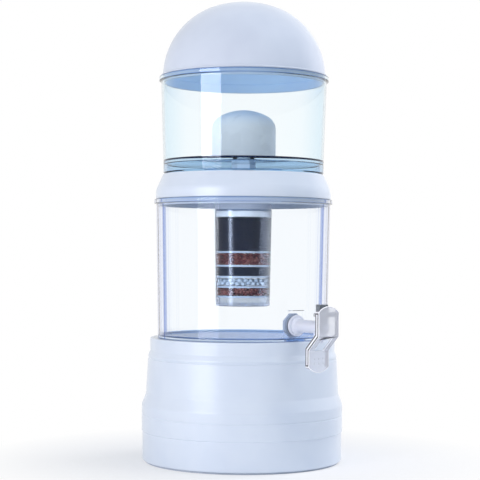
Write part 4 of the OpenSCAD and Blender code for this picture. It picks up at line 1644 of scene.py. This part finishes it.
    def side_path(self, depth: float) -> list[tuple[float, float]]:
        """Gives the lever's side view, from its outer face to a line set back by depth.

        Args:
            depth: how deep the section is.

        Returns:
            u and height of the corners.
        """
        outer, paddle = self.outer_u, self.outer_u - self.paddle_back
        rise = depth * math.tan(math.atan2(self.paddle_back, self.slant_foot - self.slant_top) / 2)
        return [(outer, self.lever_top), (outer, -self.slant_top), (paddle, -self.slant_foot),
                (paddle, -self.lever_drop), (paddle - depth, -self.lever_drop),
                (paddle - depth, rise - self.slant_foot), (outer - depth, rise - self.slant_top),
                (outer - depth, self.lever_top)]

    def build_lever(self) -> None:
        """Builds the clear lever: a cranked plate with curved ends, two side flanges and grip dots."""
        finishes = ["clear_polycarbonate", "polycarbonate_painted_dark_edge", "polycarbonate_painted_glint"]
        plate = self.cranked_plate()
        rails = []
        for side in (-1, 1):
            middle = side * (self.half - self.rail_t / 2)
            rails.append(prism("rail", self.side_path(self.rail_d), middle - self.rail_t / 2,
                               middle + self.rail_t / 2))
        for piece in (plate, *rails):
            for name in finishes:
                piece.data.materials.append(self.finishes[name])
        for rail in rails:
            cut_mesh(plate, rail, Operation.JOIN)
        self.trim_ends(plate)
        self.border_sides(plate)
        # The rounded corners get the painted highlight.
        bevelled(plate, self.edge_w, self.edge_steps, finish=LeverFace.GLINT)
        whole = joined("tap_lever_plate", [plate, *self.bosses(), *self.dots()])
        # The painted highlight stays only on rounded corners near the lever's ends or facing sideways.
        for face in whole.data.polygons:
            z = face.center.z / MM
            between_ends = self.end_h - self.lever_drop <= z <= self.lever_top - self.end_h
            plain = abs(face.normal.y) < self.not_sideways and between_ends
            if face.material_index == LeverFace.GLINT and plain:
                face.material_index = LeverFace.CLEAR
        whole.data.transform(self.axes.upright())
        self.settle(whole, Body.HANDLE, Slot.CLEAR_LEVER, finishes, "tap_lever")

    def border_sides(self, lever: bpy.types.Object) -> None:
        """Paints the outer side walls white with a dark border round them, and paints the inner ones dark
        above and below the slant: painted highlight and painted shade for what the clear walls carry to the
        eye.

        Args:
            lever: the lever's mesh object.
        """
        work = bmesh.new()
        work.from_mesh(lever.data)
        walls = [f for f in work.faces if abs(f.normal.y) > self.sideways]
        outside = max(abs(f.calc_center_median().y) for f in walls) - self.outer_skin * MM
        outer = [f for f in walls if abs(f.calc_center_median().y) > outside]
        border = bmesh.ops.inset_region(work, faces=outer, thickness=self.border_w * MM, use_even_offset=True,
                                        use_boundary=True)
        # The middles of the outer walls get the painted highlight, their borders the painted dark.
        for face in outer:
            face.material_index = LeverFace.GLINT
        for face in border["faces"]:
            face.material_index = LeverFace.EDGE
        low, high = (z * MM for z in self.slot_span)
        for z in (high, low):
            inner = self.inner_sides(work, outside, self.broad_side)
            parts = {part for f in inner for part in (f, *f.edges, *f.verts)}
            bmesh.ops.bisect_plane(work, geom=list(parts), plane_co=(0, 0, z), plane_no=(0, 0, 1))
        # The inner walls get the painted dark, except along the slant.
        for face in self.inner_sides(work, outside, self.broad_part):
            slanted = low < face.calc_center_median().z < high
            face.material_index = LeverFace.CLEAR if slanted else LeverFace.EDGE
        work.to_mesh(lever.data)
        work.free()

    def inner_sides(self, work: bmesh.types.BMesh, outside: float, area: float) -> list[bmesh.types.BMFace]:
        """Finds the inner side walls of the lever.

        Args:
            work: the lever's mesh.
            outside: how far from the middle the outer side walls begin, in metres.
            area: the least area, in square millimetres.

        Returns:
            The faces.
        """
        return [f for f in work.faces if abs(f.normal.y) > self.sideways
                and abs(f.calc_center_median().y) < outside and f.calc_area() > area * MM * MM]

    def bosses(self) -> list[bpy.types.Object]:
        """Builds the two round bosses that hold the pin.

        Returns:
            The bosses, in the lever's own axes.
        """
        made = []
        for side in (-1, 1):
            low = min(side * self.half, side * (self.half - self.rail_t))
            hole = self.pin_r + self.pin_gap
            boss = lathe("boss", [
                Turn(hole, low), Turn(self.boss_r, low), Turn(self.boss_r, low + self.rail_t),
                Turn(hole, low + self.rail_t)], around=Around.PIN)
            boss.data.transform(self.axes.on_pin(Matrix()))
            made.append(boss)
        return made

    def dots(self) -> list[bpy.types.Object]:
        """Builds the low domed grip dots on the paddle.

        Returns:
            The dots, in the lever's own axes.
        """
        face = self.outer_u - self.paddle_back
        made = []
        for w in self.dot_columns:
            for z in self.dot_rows:
                dot = lathe("grip_dot", [
                    Turn(0, -self.dot_sunk), Turn(self.dot_r, -self.dot_sunk),
                    Turn(self.dot_r, self.dot_h, self.dot_h), Turn(0, self.dot_h)], around=Around.DOT)
                place = Matrix.Translation((face * MM, w * MM, z * MM))
                dot.data.transform(place @ Matrix.Rotation(math.pi / 2, 4, "Y"))
                made.append(dot)
        return made

    def cranked_plate(self) -> bpy.types.Object:
        """Builds the lever's plate with the slot that the spout passes through.

        Returns:
            The mesh object.
        """
        plate = prism("plate", self.side_path(self.lever_t), -self.half, self.half)
        near, far = self.outer_u - self.slot_reach[0], self.outer_u + self.slot_reach[1]
        low, high = self.slot_span
        corners = [(near, low), (far, low), (far, high), (near, high)]
        cutter = prism("slot", corners, -self.slot_half, self.slot_half)
        cut_mesh(plate, cutter, Operation.CUT)
        return plate

    def trim_ends(self, lever: bpy.types.Object) -> None:
        """Cuts the lever's top and bottom edges to their curves.

        Args:
            lever: the lever's mesh object.
        """
        half, steps = self.half, self.curve_steps
        wide, past = half + self.end_reach[0], self.end_reach[1]
        for sign, end in ((1, self.lever_top), (-1, -self.lever_drop)):
            centre = end - sign * self.lever_curve
            curve = []
            for k in range(steps + 1):
                y = -half + 2 * half * k / steps
                curve.append((y, centre + sign * math.sqrt(max(0.0, self.lever_curve ** 2 - y ** 2))))
            outline = [(-wide, curve[0][1]), *curve, (wide, curve[-1][1]), (wide, end + sign * past),
                       (-wide, end + sign * past)]
            cutter = prism("end_cut", outline, *self.end_span)
            cutter.data.transform(Matrix.Rotation(-math.pi / 2, 4, "Z") @ Matrix.Scale(-1, 4, (1, 0, 0)))
            cutter.data.flip_normals()
            cut_mesh(lever, cutter, Operation.CUT)


# ---------------------------------------------------------------------------------------------------- studio


@dataclass(frozen=True)
class Lamp:
    """A soft lamp: where it stands, what it faces, its size and its power."""

    name: str
    azimuth: float
    distance: float
    height: float
    width: float
    tall: float
    power: float
    colour: str = "#FFFFFF"
    aim_z: float = 0.35
    aim: tuple[float, float] = (0.0, 0.0)
    gloss: bool = False
    bounces: int = 0
    lit: tuple[str, ...] = ()

    def place(self) -> bpy.types.Object:
        """Sets the lamp up.

        Returns:
            The lamp's object.
        """
        light = bpy.data.lights.new(self.name, "AREA")
        light.shape = "RECTANGLE"
        light.size, light.size_y = self.width, self.tall
        light.energy = self.power
        light.color = linear(self.colour)[:3]
        lamp = bpy.data.objects.new(self.name, light)
        angle = math.radians(self.azimuth)
        lamp.location = (self.distance * math.sin(angle), -self.distance * math.cos(angle), self.height)
        aim = Vector((*self.aim, self.aim_z)) - lamp.location
        lamp.rotation_euler = aim.to_track_quat("-Z", "Y").to_euler()
        lamp.visible_glossy = self.gloss
        lamp.visible_diffuse = not self.gloss
        lamp.visible_transmission = lamp.visible_camera = False
        if self.gloss:
            light.cycles.max_bounces = self.bounces
        bpy.context.scene.collection.objects.link(lamp)
        if self.lit:
            chosen = bpy.data.collections.new(self.name + "_pieces")
            for name in self.lit:
                chosen.objects.link(bpy.data.objects[name])
            lamp.light_linking.receiver_collection = chosen
        return lamp


@dataclass
class Studio:
    """The camera, the lamps, the white surroundings and the floor."""

    distance: float = 2.1
    eye_height: float = 0.307
    lens: float = 105.0
    sensor: float = 36.0
    shift_x: float = -0.0062
    shift_y: float = 0.0319
    roll: float = -0.35
    ambient: str = "#D0E3FC"
    ambient_power: float = 0.445
    paper: str = "#F4F6FA"
    floor_reach: float = 3.0
    # Metres from the middle between which the floor turns plain white, and how white it already is before.
    fade: tuple[float, float] = (0.16, 0.42)
    least_white: float = 0.55

    def build(self) -> None:
        """Sets up the whole studio."""
        self.build_camera()
        self.build_world()
        self.build_floor()

    def build_camera(self) -> None:
        """Places the camera level with the lower tank's upper third."""
        data = bpy.data.cameras.new("camera")
        data.lens, data.sensor_width = self.lens, self.sensor
        data.shift_x, data.shift_y = self.shift_x, self.shift_y
        camera = bpy.data.objects.new("camera", data)
        camera.location = (0, -self.distance, self.eye_height)
        camera.rotation_euler = (math.pi / 2, math.radians(self.roll), 0)
        bpy.context.scene.collection.objects.link(camera)
        bpy.context.scene.camera = camera

    def build_lamps(self) -> None:
        """Places the lamps, once the pieces that they light are there."""
        panel = {"distance": 1.9, "height": 0.6, "tall": 1.4, "colour": "#F4F7FF", "aim_z": 0.6,
                 "gloss": True}
        through = {"distance": 1.9, "height": 0.5, "gloss": True, "bounces": 4,
                   "lit": ("cartridge_cup_shell",)}
        close = {"azimuth": -15, "distance": 1.4, "height": 0.38, "width": 0.8, "tall": 0.6, "aim_z": 0.33}
        # The first six numbers are azimuth, distance, height, width, tall and power.
        lamps = [
            Lamp("left_lamp", -38, 2.2, 0.55, 0.9, 1.6, 29, "#FFF6F4"),
            Lamp("right_lamp", 120, 2.2, 0.75, 1.2, 1.8, 18.5, "#FFF4F6"),
            Lamp("crown_lamp", 92, 0.9, 1.9, 1.2, 0.9, 15.5, "#FBFBFF", aim_z=0.6),
            Lamp("tank_strip", azimuth=-45, width=0.98, power=84,
                 lit=("upper_tank_shell", "lower_tank_shell"), **panel),
            Lamp("collar_strip", azimuth=-46, width=1.05, power=12,
                 lit=("collar_shell", "stand_shell"), **panel),
            Lamp("cup_strip", azimuth=-53, width=0.34, tall=1.8, power=210, colour="#F4F7FF",
                 aim_z=0.5, **through),
            Lamp("cup_veil", azimuth=113, width=3.2, tall=1.6, power=500, colour="#E4EDFF",
                 aim_z=0.4, **through),
            Lamp("pad_lamp", power=60, colour="#FFEBD0", lit=("cotton_pad_wadding",), **close),
            Lamp("pebble_lamp", power=44, colour="#FFF0DC",
                 lit=("cartridge_screens", "quartz_pebbles"), **close),
            Lamp("cartridge_lamp", power=22, colour="#FFF3E4", lit=(
                "cartridge_cap_shell", "clay_balls_upper", "clay_balls_lower", "carbon_grains", "sand_grains",
                "dome_lock_nut", "dome_seal_washer", "ceramic_dome_base"), **close),
            Lamp("lever_lamp", 40, 1.6, 0.6, 0.9, 0.9, 5, "#FFF8F6", aim_z=0.2, aim=(0.1, -0.15),
                 lit=("tap_lever_plate",)),
            Lamp("lid_fill", 0, 0.0, 0.545, 0.12, 0.12, 0.1, "#CDE4F6", aim_z=0.7, lit=("lid_shell",)),
        ]
        for lamp in lamps:
            lamp.place()

    def build_world(self) -> None:
        """Makes surroundings that look white, and that light the filter softly and a little blue."""
        world = bpy.data.worlds.new("white_studio")
        world.use_nodes = True
        tree = world.node_tree
        tree.nodes.clear()
        soft = add(tree, "ShaderNodeBackground", {
            "Color": linear(self.ambient), "Strength": self.ambient_power})
        white = add(tree, "ShaderNodeBackground", {"Color": linear("#FFFFFF"), "Strength": 1.0})
        both = add(tree, "ShaderNodeMixShader", {0: seen_rays(tree), 1: soft.outputs[0], 2: white.outputs[0]})
        add(tree, "ShaderNodeOutputWorld", {"Surface": both.outputs[0]})
        bpy.context.scene.world = world

    def build_floor(self) -> None:
        """Lays a white floor that keeps the filter's soft shadow and fades to plain white further out."""
        work = bmesh.new()
        bmesh.ops.create_grid(work, x_segments=8, y_segments=8, size=self.floor_reach)
        mesh = bpy.data.meshes.new("studio_floor")
        work.to_mesh(mesh)
        work.free()
        floor = bpy.data.objects.new("studio_floor", mesh)
        bpy.context.scene.collection.objects.link(floor)
        material = new_material("studio_paper")
        tree = material.node_tree
        place = add(tree, "ShaderNodeTexCoord").outputs["Object"]
        reach = add(tree, "ShaderNodeVectorMath", {0: place}, operation="LENGTH")
        fade = add(tree, "ShaderNodeMapRange", {
            "Value": reach.outputs["Value"], "From Min": self.fade[0], "From Max": self.fade[1],
            "To Min": self.least_white, "To Max": 1.0})
        glow = add(tree, "ShaderNodeMath", {0: fade.outputs["Result"], 1: seen_rays(tree)},
                   operation="MULTIPLY")
        paper = add(tree, "ShaderNodeBsdfDiffuse", {"Color": linear(self.paper)})
        white = add(tree, "ShaderNodeEmission", {"Color": linear("#FFFFFF"), "Strength": 1.0})
        both = add(tree, "ShaderNodeMixShader", {
            0: glow.outputs[0], 1: paper.outputs[0], 2: white.outputs[0]})
        add(tree, "ShaderNodeOutputMaterial", {"Surface": both.outputs[0]})
        mesh.materials.append(material)


def main() -> None:
    """Builds the studio and every sub-assembly, in order."""
    logging.basicConfig(level=logging.INFO, format="%(name)s: %(message)s")
    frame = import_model()
    bpy.context.scene.view_settings.view_transform = "Standard"
    studio = Studio()
    studio.build()
    finishes = Finishes()
    axes = TapAxes.of(frame["joints"])
    Stand(finishes).build()
    Tanks(finishes, axes).build()
    Covers(finishes).build()
    DomeFilter(finishes).build()
    Cartridge(finishes).build()
    Tap(finishes, axes).build()
    studio.build_lamps()
    Assembly(finishes).dress_nodes(frame, {
        "silicone_rubber": ("dome_seal_washer", "cartridge_seal", "tap_inner_washer", "tap_outer_washer",
                            "tap_valve_seal"),
        "moulded_white_abs": ("dome_lock_nut",), "moulded_tap_white": ("tap_plunger",),
        "stainless_steel": ("tap_spring", "tap_lever_pin")})


if __name__ == "__main__":
    main()
